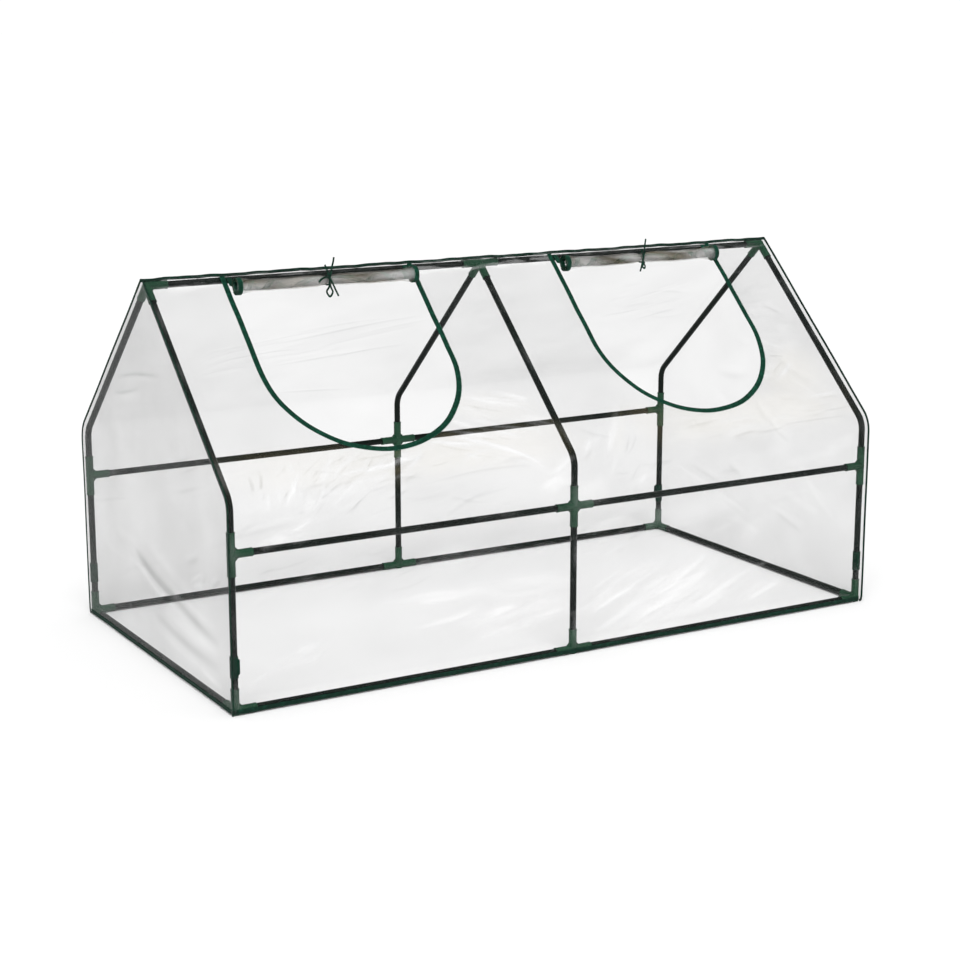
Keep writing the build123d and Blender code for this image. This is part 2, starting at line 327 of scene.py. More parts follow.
def hook_and_loop(colour):
    p = Painter("hook_and_loop")
    fuzz = p.noise(1300.0, detail=4.0, rough=0.7)
    p.set(Base_Color=p.blend(fuzz, shade(colour, 0.4), shade(colour, 1.5)), Roughness=0.9)
    p.shader.inputs["Specular IOR Level"].default_value = 0.2
    p.bump(fuzz, 0.6 * MM, 1.0)
    return p.material


def glossy_metal_paint(name, colour):
    p = Painter(name)
    p.set(Base_Color=p.blend(p.noise(200.0), shade(colour, 0.8), shade(colour, 1.3)),
          Roughness=p.spread(p.noise(400.0), 0.18, 0.34))
    p.shader.inputs["Coat Weight"].default_value = 0.5
    p.bump(p.noise(1200.0), 0.03 * MM, 0.4)
    return p.material


# --- Meshes -------------------------------------------------------------------------------
def new_piece(name, points, faces, material, uv=None, smooth=True, solid=True):
    """A mesh piece in place; a solid has its faces turned outwards."""
    mesh = bpy.data.meshes.new(name)
    mesh.from_pydata([tuple(p) for p in points], [], [tuple(f) for f in faces])
    if uv is not None:
        layer = mesh.uv_layers.new(name="UVMap")
        corners = np.empty(len(mesh.loops), np.int32)
        mesh.loops.foreach_get("vertex_index", corners)
        layer.data.foreach_set("uv", np.asarray(uv, np.float32)[corners].ravel())
    if solid:
        edit = bmesh.new()
        edit.from_mesh(mesh)
        bmesh.ops.recalc_face_normals(edit, faces=edit.faces)
        edit.to_mesh(mesh)
        edit.free()
    mesh.polygons.foreach_set("use_smooth", [smooth] * len(mesh.polygons))
    mesh.materials.append(material)
    piece = bpy.data.objects.new(name, mesh)
    bpy.context.scene.collection.objects.link(piece)
    return piece


def joined(name, parts, material):
    """One piece from several closed meshes, each a (points, faces, uv) triple."""
    points, faces, uvs, start = [], [], [], 0
    for part_points, part_faces, part_uv in parts:
        points.append(np.asarray(part_points, float))
        faces += [[start + i for i in face] for face in part_faces]
        uvs.append(np.asarray(part_uv, float))
        start += len(part_points)
    return new_piece(name, np.concatenate(points), faces, material, uv=np.concatenate(uvs))


def unit(vectors):
    return vectors / np.maximum(np.linalg.norm(vectors, axis=1, keepdims=True), 1e-9)


def frame_along(points, ups, closed=False):
    """Tangent, across and up at each point of a line."""
    points = np.asarray(points, float)
    ups = np.broadcast_to(np.asarray(ups, float), points.shape)
    if closed:
        tangents = np.roll(points, -1, 0) - np.roll(points, 1, 0)
    else:
        tangents = np.gradient(points, axis=0)
    tangents = unit(tangents)
    across = unit(np.cross(tangents, ups))
    return tangents, across, unit(np.cross(across, tangents))


def swept(points, ups, section, closed=False):
    """A closed band of this section along a line, as (points, faces, uv)."""
    points, section = np.asarray(points, float), np.asarray(section, float)
    _, across, ups = frame_along(points, ups, closed)
    rings = (points[:, None] + across[:, None] * section[None, :, :1]
             + ups[:, None] * section[None, :, 1:2])
    count, sides = len(points), len(section)
    faces = []
    for i in range(count if closed else count - 1):
        j = (i + 1) % count
        for k in range(sides):
            n = (k + 1) % sides
            faces.append((i * sides + k, j * sides + k, j * sides + n, i * sides + n))
    if not closed:
        faces += [tuple(range(sides - 1, -1, -1)), tuple(range((count - 1) * sides, count * sides))]
    along = np.concatenate([[0], np.cumsum(np.linalg.norm(np.diff(points, axis=0), axis=1))])
    round_it = np.concatenate(
        [[0], np.cumsum(np.linalg.norm(np.diff(section, axis=0), axis=1))])
    uv = np.stack(np.broadcast_arrays(along[:, None], round_it[None]), axis=2).reshape(-1, 2)
    return rings.reshape(-1, 3), faces, uv


def flat_section(width, thickness, edge=0.35):
    """A tape's section: flat, with softened edges."""
    w, t = width / 2, thickness / 2
    inner = w - edge * thickness
    return [(-inner, -t), (inner, -t), (w, -t * 0.3), (w, t * 0.3),
            (inner, t), (-inner, t), (-w, t * 0.3), (-w, -t * 0.3)]


def rows_group():
    """Geometry Nodes: a small rounded bead at every step along the piece's lines."""
    name = "Beads along a line"
    if name in bpy.data.node_groups:
        return bpy.data.node_groups[name]
    tree = bpy.data.node_groups.new(name, "GeometryNodeTree")
    face = tree.interface
    face.new_socket("Geometry", in_out="INPUT", socket_type="NodeSocketGeometry")
    for label in ("Pitch", "Length", "Width", "Height"):
        face.new_socket(label, in_out="INPUT", socket_type="NodeSocketFloat")
    face.new_socket("Material", in_out="INPUT", socket_type="NodeSocketMaterial")
    face.new_socket("Geometry", in_out="OUTPUT", socket_type="NodeSocketGeometry")
    new, link = tree.nodes.new, tree.links.new
    given, result = new("NodeGroupInput"), new("NodeGroupOutput")
    curve, steps = new("GeometryNodeMeshToCurve"), new("GeometryNodeResampleCurve")
    steps.mode = "LENGTH"
    tangent, up = new("GeometryNodeInputTangent"), new("GeometryNodeInputNamedAttribute")
    up.data_type = "FLOAT_VECTOR"
    up.inputs["Name"].default_value = "up"
    turn = new("FunctionNodeAxesToRotation")
    turn.primary_axis, turn.secondary_axis = "X", "Z"
    bead, put = new("GeometryNodeMeshUVSphere"), new("GeometryNodeInstanceOnPoints")
    bead.inputs["Segments"].default_value = 8
    bead.inputs["Rings"].default_value = 4
    bead.inputs["Radius"].default_value = 0.5
    size, real = new("ShaderNodeCombineXYZ"), new("GeometryNodeRealizeInstances")
    soft, coat = new("GeometryNodeSetShadeSmooth"), new("GeometryNodeSetMaterial")
    link(given.outputs["Geometry"], curve.inputs["Mesh"])
    link(curve.outputs["Curve"], steps.inputs["Curve"])
    link(given.outputs["Pitch"], steps.inputs["Length"])
    link(tangent.outputs[0], turn.inputs["Primary Axis"])
    link(up.outputs["Attribute"], turn.inputs["Secondary Axis"])
    for socket, label in zip("XYZ", ("Length", "Width", "Height")):
        link(given.outputs[label], size.inputs[socket])
    link(steps.outputs["Curve"], put.inputs["Points"])
    link(bead.outputs["Mesh"], put.inputs["Instance"])
    link(turn.outputs["Rotation"], put.inputs["Rotation"])
    link(size.outputs[0], put.inputs["Scale"])
    link(put.outputs["Instances"], real.inputs["Geometry"])
    link(real.outputs["Geometry"], soft.inputs["Geometry"])
    link(soft.outputs["Geometry"], coat.inputs["Geometry"])
    link(given.outputs["Material"], coat.inputs["Material"])
    link(coat.outputs["Geometry"], result.inputs["Geometry"])
    return tree


def beads(name, lines, pitch, size, material):
    """Beads of this (length, width, height) along lines, each a (points, ups) pair."""
    points, ups, edges = [], [], []
    for line, up in lines:
        start = len(points)
        points += [tuple(p) for p in line]
        ups.append(np.broadcast_to(np.asarray(up, float), (len(line), 3)))
        edges += [(start + i, start + i + 1) for i in range(len(line) - 1)]
    mesh = bpy.data.meshes.new(name + "_lines")
    mesh.from_pydata(points, edges, [])
    mesh.attributes.new("up", "FLOAT_VECTOR", "POINT").data.foreach_set(
        "vector", np.concatenate(ups).astype(np.float32).ravel())
    carrier = bpy.data.objects.new(name + "_lines", mesh)
    bpy.context.scene.collection.objects.link(carrier)
    modifier = carrier.modifiers.new("Beads", "NODES")
    modifier.node_group = rows_group()
    values = {"Pitch": pitch, "Length": size[0], "Width": size[1], "Height": size[2],
              "Material": material}
    for item in modifier.node_group.interface.items_tree:
        if item.name in values and item.in_out == "INPUT":
            modifier[item.identifier] = values[item.name]
    graph = bpy.context.evaluated_depsgraph_get()
    result = bpy.data.meshes.new_from_object(carrier.evaluated_get(graph), depsgraph=graph)
    bpy.data.objects.remove(carrier)
    bpy.data.meshes.remove(mesh)
    result.name = name
    piece = bpy.data.objects.new(name, result)
    bpy.context.scene.collection.objects.link(piece)
    return piece


def finish(piece, body, replaced=()):
    """Hang a finished piece on its body and hide the parts it replaces."""
    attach(piece, body)
    if replaced:
        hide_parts(*replaced)
    return piece


# --- Shape of the film --------------------------------------------------------------------
def section_path(step=3 * MM):
    """Half of the cover's cross-section from hem to seam, for the back half.

    Each row is y, z and the outward normal's y, z; the roof's straight part ends level with the
    ridge rail's centre, and the last stretch stands up as the seam's fin.
    """
    turn = math.pi / 2 - SLOPE
    bend_y, bend_z = HALF_WIDTH - BEND_RADIUS, EAVE - BEND_RADIUS * math.tan(turn / 2)
    rows = []
    for z in np.arange(HEM, bend_z, step):
        rows.append((HALF_WIDTH + FILM_OFFSET, z, 1.0, 0.0))
    for a in np.linspace(0, turn, 18):
        reach = BEND_RADIUS + FILM_OFFSET
        rows.append((bend_y + reach * math.cos(a), bend_z + reach * math.sin(a),
                     math.cos(a), math.sin(a)))
    top = np.array([FILM_OFFSET * math.cos(turn), RIDGE + FILM_OFFSET * math.sin(turn)])
    low = np.array(rows[-1][:2])
    count = int(np.linalg.norm(top - low) / step)
    for share in np.linspace(0, 1, count)[1:]:
        y, z = low + (top - low) * share
        rows.append((y, z, math.cos(turn), math.sin(turn)))
    level = len(rows) - 1
    for a in np.linspace(turn, math.pi / 2, 7)[1:]:
        rows.append((FILM_OFFSET * math.cos(a) + 0.3 * MM, RIDGE + FILM_OFFSET * math.sin(a),
                     math.cos(a), math.sin(a)))
    rows.append((0.3 * MM, RIDGE + FILM_OFFSET + FIN, 1.0, 0.0))
    rows = np.array(rows)
    along = np.concatenate([[0], np.cumsum(np.linalg.norm(np.diff(rows[:, :2], axis=0), axis=1))])
    return rows, along, along[level]


SECTION, ALONG, SLOPE_TOP = section_path()
SHEET_LENGTH = ALONG[-1]
SHEET_HALF = HALF_LENGTH + FILM_OFFSET + FIN


def along_at(z):
    """Length along the section to this height on the wall."""
    return z - HEM


def window_edge(half_width, top, step=7 * MM, middle_x=0.0):
    """The window's outline on the slope as (x, down), from its left top round to its right top."""
    sides = np.linspace(top, WINDOW_STRAIGHT, max(2, int((WINDOW_STRAIGHT - top) / step)))
    turns = np.linspace(0, math.pi, max(8, int(math.pi * half_width / step)))[1:-1]
    left = [(-half_width, d) for d in sides]
    arc = [(-half_width * math.cos(a), WINDOW_STRAIGHT + half_width * math.sin(a)) for a in turns]
    right = [(half_width, d) for d in sides[::-1]]
    return np.array([(middle_x + x, d) for x, d in left + arc + right])


def flat_mesh(outline, holes, step, extra):
    """Triangles over a flat outline with holes, on an even grid inside and finer at extra points."""
    outline = np.asarray(outline, float)
    low, high = outline.min(0), outline.max(0)
    columns = np.linspace(low[0], high[0], int((high[0] - low[0]) / step) + 1)[1:-1]
    rows = np.linspace(low[1], high[1], int((high[1] - low[1]) / step) + 1)[1:-1]
    grid = np.array([(x, y) for x in columns for y in rows])
    taken = {tuple(cell) for cell in np.floor(extra / step).astype(int)}
    clear = [tuple(cell) not in taken for cell in np.floor(grid / step).astype(int)]
    grid = np.concatenate([grid[clear], extra])
    loops = [outline, *[np.asarray(h, float) for h in holes]]
    edge_points = np.concatenate(loops)
    keep = inside_polygon(grid, outline)
    for hole in loops[1:]:
        keep &= ~inside_polygon(grid, hole)
    grid = grid[keep]
    near = np.full(len(grid), np.inf)
    for start in range(0, len(edge_points), 64):
        gap = np.linalg.norm(grid[:, None] - edge_points[None, start:start + 64], axis=2).min(1)
        near = np.minimum(near, gap)
    grid = grid[near > 0.25 * step]
    points = [Vector(p) for p in edge_points] + [Vector(p) for p in grid]
    edges, start = [], 0
    for loop in loops:
        edges += [(start + i, start + (i + 1) % len(loop)) for i in range(len(loop))]
        start += len(loop)
    found, _, faces, *_ = delaunay_2d_cdt(points, edges, [], 0, 1e-6)
    found, faces = np.array([tuple(p) for p in found]), np.array([f for f in faces if len(f) == 3])
    centres = found[faces].mean(1)
    keep = inside_polygon(centres, outline)
    for hole in loops[1:]:
        keep &= ~inside_polygon(centres, hole)
    return found, faces[keep]


def inside_polygon(points, loop):
    inside = np.zeros(len(points), bool)
    x, y = points[:, 0], points[:, 1]
    ahead = np.roll(loop, -1, 0)
    for (x1, y1), (x2, y2) in zip(loop, ahead):
        if y1 == y2:
            continue
        crosses = (y1 > y) != (y2 > y)
        inside ^= crosses & (x < (x2 - x1) * (y - y1) / (y2 - y1) + x1)
    return inside


def border(low_x, high_x, low_y, high_y, step):
    """A rectangle's outline with points at every step."""
    xs = np.linspace(low_x, high_x, int((high_x - low_x) / step) + 1)
    ys = np.linspace(low_y, high_y, int((high_y - low_y) / step) + 1)
    return ([(x, low_y) for x in xs[:-1]] + [(high_x, y) for y in ys[:-1]]
            + [(x, high_y) for x in xs[:0:-1]] + [(low_x, y) for y in ys[:0:-1]])


# --- Folds --------------------------------------------------------------------------------
def slack(u, v, seed, wave=0.35):
    """Slow swell of loose film, about -1 to 1."""
    rng = np.random.default_rng(seed)
    total = np.zeros_like(u)
    for _ in range(6):
        a = rng.uniform(0, math.pi)
        size = wave * rng.uniform(0.6, 1.8)
        total += np.sin((u * math.cos(a) + v * math.sin(a)) * 2 * math.pi / size + rng.uniform(0, 6.3))
    return total / 3.5


def crease(start, end, width, painted_light_and_warmth, bow=0.0):
    """A crease from start to end on the flat film, its half-width, its painted light (painted shade
    below 0, painted highlight above 0) and its sideways bow.
    """
    return (*start, *end, width, painted_light_and_warmth, bow)


def family(centre, reach, angle, spread, count, length, width, painted_light_range, seed):
    """Creases strewn over a patch, all running about the same way."""
    rng = np.random.default_rng(seed)
    made = []
    for _ in range(count):
        place = np.asarray(centre) + rng.uniform(-1, 1, 2) * reach
        turn = math.radians(rng.normal(angle, spread))
        half = length * rng.uniform(0.35, 1.3) / 2
        step = np.array([math.cos(turn), math.sin(turn)]) * half
        painted_light_and_warmth = rng.uniform(*painted_light_range)
        made.append(crease(place - step, place + step, width * rng.uniform(0.6, 1.5), painted_light_and_warmth,
                           half * rng.normal(0, 0.10)))
    return made


def crease_frame(one, u, v):
    """Position along a crease, 0 to 1, and distance across it."""
    u0, v0, u1, v1, _, _, bow = one
    length = math.hypot(u1 - u0, v1 - v0)
    du, dv = (u1 - u0) / length, (v1 - v0) / length
    along = ((u - u0) * du + (v - v0) * dv) / length
    across = -(u - u0) * dv + (v - v0) * du - bow * 4 * along * (1 - along)
    return along, across


def crease_points(creases, outline_low, outline_high):
    """Mesh points that follow each crease closely enough to carry its shape."""
    points = []
    for u0, v0, u1, v1, width, _, bow in creases:
        length = math.hypot(u1 - u0, v1 - v0)
        side = np.array([-(v1 - v0), u1 - u0]) / length
        for share in np.linspace(0.03, 0.97, max(4, int(length / (9 * MM)))):
            spine = np.array([u0 + (u1 - u0) * share, v0 + (v1 - v0) * share])
            spine = spine + side * bow * 4 * share * (1 - share)
            points += [spine + side * width * k for k in (-2.4, -1.2, -0.5, 0, 0.5, 1.2, 2.4)]
    points = np.array(points)
    above = points > np.asarray(outline_low) + 4 * MM
    below = points < np.asarray(outline_high) - 4 * MM
    inside = np.all(above & below, axis=1)
    points = points[inside]
    _, first = np.unique(np.floor(points / (2.2 * MM)).astype(int), axis=0, return_index=True)
    return points[np.sort(first)]


def crease_film(creases, u, v):
    """Height (about 0 to 1) and the painted light and shade that the creases give the film at each
    point.
    """
    height, painted_light_and_warmth = np.zeros_like(u), np.zeros_like(u)
    for one in creases:
        along, across = crease_frame(one, u, v)
        width, strength = one[4], one[5]
        near = (along > 0) & (along < 1) & (np.abs(across) < 5 * width)
        t, d = along[near], across[near] / width
        taper = np.sin(math.pi * t) ** 0.8
        height[near] += taper * np.exp(-(d / 1.3) ** 2) * (1 if strength > 0 else -0.8)
        painted_light_and_warmth[near] += strength * taper * np.exp(-d ** 2)
        # beside a dark crease runs a band of painted highlight
        if strength < 0:
            painted_light_and_warmth[near] -= 0.45 * strength * taper * np.exp(-((d - 1.9) / 1.1) ** 2)
    return height, painted_light_and_warmth


def glow(u, v, centre, reach, angle, painted_light_and_warmth, seed):
    """A soft-edged patch of film: a painted highlight where a flat facet would catch the light, and
    also the shape of each warm cast.
    """
    turn = math.radians(angle)
    du, dv = u - centre[0], v - centre[1]
    a = (du * math.cos(turn) + dv * math.sin(turn)) / reach[0]
    b = (-du * math.sin(turn) + dv * math.cos(turn)) / reach[1]
    ragged = 1 + 0.35 * slack(u, v, seed, 0.06)
    return painted_light_and_warmth * np.exp(-((a * a) ** 2 + (b * b) ** 2) * ragged)


# The creases of each sheet.  The first number of a place runs along the length, or across a
# gable from front to back, and the second up the film from its hem.
# Each crease's painted light is painted shade where it is below 0 and a painted highlight where it is
# above 0.
FRONT_CREASES = [
    # the leaf-like pleats over the left eave, steep at first and flatter to the right
    *family((-0.79, 0.51), (0.07, 0.04), 70, 9, 16, 0.075, 0.0036, (-0.52, 0.85), 201),
    *family((-0.76, 0.47), (0.09, 0.03), 66, 12, 12, 0.05, 0.0040, (0.2, 0.55), 202),
    *family((-0.66, 0.50), (0.10, 0.05), 46, 10, 26, 0.08, 0.0036, (-0.52, 0.85), 203),
    *family((-0.55, 0.50), (0.14, 0.05), 26, 8, 30, 0.12, 0.0036, (-0.47, 0.85), 204),
    *family((-0.42, 0.54), (0.20, 0.05), 8, 6, 34, 0.16, 0.0036, (-0.44, 0.78), 205),
    *family((-0.78, 0.40), (0.08, 0.03), 12, 14, 12, 0.06, 0.0050, (0.2, 0.55), 206),
    *family((-0.50, 0.415), (0.30, 0.030), 5, 8, 20, 0.12, 0.0040, (-0.18, 0.22), 234),
    # the painted bright glint left of the middle frame and the pleats that run into it
    crease((-0.245, 0.566), (-0.085, 0.472), 0.0050, 1.25, 0.005),
    crease((-0.300, 0.585), (-0.140, 0.530), 0.0030, 0.8, -0.005),
    crease((-0.400, 0.580), (-0.220, 0.545), 0.0030, 0.7, 0.004),
    crease((-0.200, 0.600), (-0.060, 0.570), 0.0030, 0.7, 0.004),
    crease((-0.220, 0.520), (-0.060, 0.455), 0.0030, 0.45, 0.004),
    *family((-0.18, 0.57), (0.14, 0.05), -20, 8, 30, 0.10, 0.0034, (-0.44, 1.04), 207),
    *family((-0.22, 0.66), (0.14, 0.05), -16, 9, 20, 0.11, 0.0038, (-0.44, 0.85), 208),
    *family((-0.07, 0.455), (0.05, 0.03), 24, 12, 12, 0.06, 0.0050, (0.2, 0.5), 209),
    *family((-0.26, 0.40), (0.20, 0.03), 4, 8, 18, 0.12, 0.0040, (-0.20, 0.18), 235),
    crease((-0.380, 0.470), (-0.100, 0.478), 0.0040, -0.22, 0.010),
    # right bay, over the eave
    crease((0.095, 0.490), (0.185, 0.620), 0.0075, 0.55, -0.004),
    crease((0.130, 0.530), (0.200, 0.625), 0.0050, -0.20, 0.003),
    crease((0.030, 0.500), (0.085, 0.520), 0.0060, 0.4),
    *family((0.12, 0.47), (0.08, 0.08), 50, 14, 14, 0.07, 0.0040, (-0.29, 0.59), 210),
    *family((0.55, 0.535), (0.28, 0.05), 4, 6, 34, 0.12, 0.0038, (-0.44, 0.59), 211),
    *family((0.70, 0.70), (0.10, 0.06), 12, 16, 22, 0.08, 0.0045, (-0.44, 0.72), 212),
    crease((0.600, 0.500), (0.860, 0.505), 0.0032, -0.25, 0.004),
    *family((0.42, 0.42), (0.34, 0.03), 6, 9, 20, 0.12, 0.0045, (-0.2, 0.3), 236),
    # between the side rail and the ground
    *family((-0.27, 0.196), (0.18, 0.014), -1, 3, 12, 0.20, 0.0052, (0.26, 0.5), 221),
    *family((-0.20, 0.125), (0.17, 0.020), 8, 3, 14, 0.16, 0.0056, (0.26, 0.5), 222),
    *family((-0.16, 0.100), (0.10, 0.020), 12, 5, 8, 0.10, 0.0040, (0.2, 0.45), 223),
    *family((-0.76, 0.110), (0.08, 0.030), 20, 6, 7, 0.12, 0.0050, (0.18, 0.35), 224),
    *family((0.20, 0.150), (0.16, 0.030), 24, 3, 16, 0.18, 0.0052, (0.3, 0.6), 225),
    *family((0.26, 0.090), (0.16, 0.035), 21, 3, 18, 0.22, 0.0056, (0.3, 0.62), 226),
    *family((0.44, 0.100), (0.14, 0.040), 20, 3, 14, 0.18, 0.0056, (0.3, 0.58), 227),
    *family((-0.62, 0.290), (0.20, 0.050), 10, 7, 22, 0.12, 0.0042, (-0.20, 0.28), 228),
    *family((-0.22, 0.300), (0.20, 0.040), 6, 9, 22, 0.12, 0.0042, (-0.20, 0.35), 229),
    *family((0.10, 0.280), (0.08, 0.040), 18, 10, 16, 0.10, 0.0042, (-0.25, 0.4), 230),
    *family((0.45, 0.290), (0.30, 0.040), 8, 8, 24, 0.12, 0.0042, (-0.2, 0.35), 237),
    # the roof beside and between the windows
    *family((-0.82, 0.90), (0.04, 0.14), 82, 8, 6, 0.16, 0.0080, (-0.12, 0.15), 231),
    *family((0.00, 0.93), (0.14, 0.12), 14, 10, 14, 0.12, 0.0060, (-0.16, 0.25), 232),
    *family((0.80, 0.92), (0.06, 0.12), 8, 12, 14, 0.10, 0.0050, (-0.16, 0.3), 233),
    # film pulled over the ridge tube: a row of painted highlights and, just above it, a row of painted
    # shade
    *family((0.00, 1.085), (0.87, 0.010), 0, 1.6, 110, 0.09, 0.0026, (0.4, 1.5), 238),
    *family((0.00, 1.097), (0.87, 0.004), 0, 1.2, 80, 0.08, 0.0024, (-1.5, -0.5), 239),
]
BACK_CREASES = [
    crease((-0.480, 0.790), (-0.070, 0.870), 0.0045, -0.30, 0.010),
    crease((-0.450, 0.690), (-0.070, 0.742), 0.0042, -0.28, 0.008),
    crease((-0.400, 0.560), (-0.140, 0.547), 0.0042, -0.24, 0.005),
    *family((-0.35, 0.80), (0.24, 0.12), 11, 3, 14, 0.22, 0.0045, (-0.10, 0.12), 301),
    *family((0.60, 0.84), (0.20, 0.10), 10, 8, 14, 0.16, 0.0055, (-0.25, 0.25), 302),
    *family((-0.50, 0.30), (0.34, 0.08), 9, 7, 16, 0.18, 0.0060, (-0.25, 0.25), 303),
    *family((0.40, 0.28), (0.38, 0.10), -6, 8, 16, 0.18, 0.0060, (-0.25, 0.25), 304),
    *family((-0.60, 0.13), (0.22, 0.05), 12, 8, 10, 0.16, 0.0060, (-0.2, 0.3), 305),
]
GABLE_CREASES = {
    "left": [
        crease((0.110, 0.250), (-0.150, 0.190), 0.0110, -1.10, 0.010),
        crease((-0.090, 0.200), (-0.400, 0.148), 0.0110, -0.55, 0.008),
        crease((0.060, 0.305), (-0.330, 0.215), 0.0160, 0.18, 0.012),
        crease((-0.060, 0.235), (-0.390, 0.180), 0.0100, 0.20, 0.008),
        crease((0.010, 0.124), (-0.400, 0.092), 0.0120, -0.48, 0.012),
        crease((-0.060, 0.155), (-0.390, 0.122), 0.0120, 0.22, 0.010),
        crease((-0.280, 0.060), (-0.410, 0.050), 0.0080, 0.35),
        crease((0.190, 0.663), (-0.090, 0.705), 0.0045, -0.45, -0.006),
        crease((0.220, 0.620), (0.040, 0.660), 0.0045, -0.40, 0.004),
        *family((-0.32, 0.27), (0.07, 0.05), -28, 10, 6, 0.08, 0.0045, (-0.4, 0.3), 401),
        *family((0.05, 0.45), (0.25, 0.12), 8, 10, 9, 0.16, 0.0120, (-0.07, 0.07), 402),
        *family((0.20, 0.20), (0.18, 0.10), 6, 10, 7, 0.12, 0.0080, (-0.14, 0.12), 403),
    ],
    "right": [
        *family((-0.05, 0.16), (0.34, 0.09), 18, 8, 12, 0.20, 0.0080, (-0.2, 0.35), 411),
        *family((0.05, 0.45), (0.28, 0.14), 14, 20, 12, 0.16, 0.0080, (-0.2, 0.2), 412),
        *family((0.00, 0.68), (0.12, 0.08), -10, 16, 8, 0.12, 0.0060, (-0.25, 0.25), 413),
    ],
}
# Painted shade laid over each whole gable, darker on the left.
GABLE_PAINTED_SHADE = {"left": -0.36, "right": -0.08}
# Painted highlights where flat facets would catch the light: centre, reach, angle, strength of the
# painted highlight and seed.
FRONT_PAINTED_HIGHLIGHT_PATCHES = [
    ((0.055, 0.400), (0.050, 0.028), 12, 0.45, 501),
    ((-0.060, 0.428), (0.040, 0.016), 24, 0.45, 502),
    ((0.350, 0.315), (0.125, 0.026), 6, 0.42, 503),
    ((0.240, 0.318), (0.040, 0.020), 30, 0.32, 504),
    ((0.530, 0.235), (0.040, 0.018), 28, 0.40, 505),
    ((0.100, 0.315), (0.070, 0.012), 14, 0.35, 506),
    ((-0.300, 0.282), (0.120, 0.016), 4, 0.25, 507),
    ((-0.790, 0.385), (0.030, 0.014), 10, 0.40, 508),
    ((0.800, 0.425), (0.055, 0.018), 20, 0.35, 509),
]
# Stretches with a faint warm cast, in the same terms.
FRONT_WARMTH = [
    ((-0.640, 0.540), (0.240, 0.052), -2, 0.85, 521),
    ((-0.250, 0.540), (0.240, 0.056), 0, 1.00, 522),
    ((0.240, 0.560), (0.045, 0.060), 10, 0.60, 523),
    ((0.550, 0.550), (0.270, 0.058), 2, 1.00, 524),
    ((0.740, 0.650), (0.100, 0.070), 30, 0.80, 525),
    ((-0.180, 0.660), (0.120, 0.040), -12, 0.60, 526),
    ((0.150, 0.550), (0.020, 0.070), -30, 0.60, 527),
]


def add_film(name, points, faces, flat, painted_light_and_warmth, warm, material):
    """A single thin sheet; its UV map is the flat film in metres."""
    piece = new_piece(name, points, faces, material, uv=flat, solid=False)
    # the painted light and shade and the warm cast go on as point attributes for the film's material
    for label, values in (("painted_light_and_warmth", np.clip(painted_light_and_warmth, -1, 1)), ("warm", np.clip(warm, 0, 1))):
        piece.data.attributes.new(label, "FLOAT", "POINT").data.foreach_set(
            "value", np.asarray(values, np.float32))
    piece.visible_shadow = False
    return piece


def long_sheet(name, side, creases, painted_highlight_patches, warmth, seed, windows, look, material):
    """Wall and roof of one long side in a single sheet, from the hem to the ridge seam."""
    step = look.mesh_step
    outline = border(-SHEET_HALF, SHEET_HALF, 0, SHEET_LENGTH, step)
    holes = []
    for way in windows:
        edge = window_edge(ZIP_HALF_WIDTH - TAPE_HALF / 2, WINDOW_TOP, step, way * WINDOW_CENTRE)
        holes.append([(x, SLOPE_TOP - down) for x, down in edge])
    extra = crease_points(creases, (-HALF_LENGTH, 0), (HALF_LENGTH, SLOPE_TOP))
    flat, faces = flat_mesh(outline, holes, step, extra)
    u, v = flat[:, 0], flat[:, 1]

    from_frame = np.minimum(np.abs(u), np.abs(HALF_LENGTH - np.abs(u)))
    free = 1 - np.exp(-(from_frame / 0.045) ** 2)
    for held in (along_at(BASE), along_at(SIDE_RAIL), SLOPE_TOP):
        free = free * (1 - np.exp(-((v - held) / 0.035) ** 2))
    for way in windows:
        down = np.maximum(SLOPE_TOP - v - WINDOW_STRAIGHT, 0)
        apart = np.abs(np.hypot(u - way * WINDOW_CENTRE, down) - ZIP_HALF_WIDTH)
        free = free * (1 - 0.85 * np.exp(-(apart / 0.03) ** 2) * (v > SLOPE_TOP - 0.56))
    height, painted_light_and_warmth = crease_film(creases, u, v)
    warm = np.zeros_like(u)
    # painted highlights on flat stretches of film
    for one in painted_highlight_patches:
        painted_light_and_warmth = painted_light_and_warmth + glow(u, v, *one)
    for one in warmth:
        warm = np.maximum(warm, glow(u, v, *one))
    warm = warm * (1 - np.clip(np.abs(painted_light_and_warmth), 0, 0.8))
    lift = (look.crease_depth * height * (0.2 + 0.8 * free)
            + look.fold_depth * (slack(u, v, seed) - 0.7) * free)
    lift = np.clip(lift, -6 * MM * free - 0.4 * MM, 5 * MM)
    # painted light and shade varies a little at random
    painted_light_and_warmth = painted_light_and_warmth + 0.05 * slack(u, v, seed + 2, 0.2)
    edge_fin = np.maximum(np.abs(u) - (HALF_LENGTH + FILM_OFFSET), 0)
    lift = np.where(edge_fin > 0, 0, lift) + edge_fin
    x = np.clip(u, -(HALF_LENGTH + FILM_OFFSET), HALF_LENGTH + FILM_OFFSET)
    y, z, ny, nz = (np.interp(v, ALONG, SECTION[:, k]) for k in range(4))
    points = np.stack([x, side * (y + ny * lift), z + nz * lift], axis=1)
    if side > 0:
        faces = faces[:, ::-1]
    # painted highlight: film pulled over a tube shows a thin broken shine along it
    painted_tube_shine = np.exp(-(from_frame / (7 * MM)) ** 2) * np.clip(slack(u, v, seed + 1, 0.1), 0, 1)
    return add_film(name, points, faces, flat, painted_light_and_warmth + 0.5 * painted_tube_shine, warm, material)


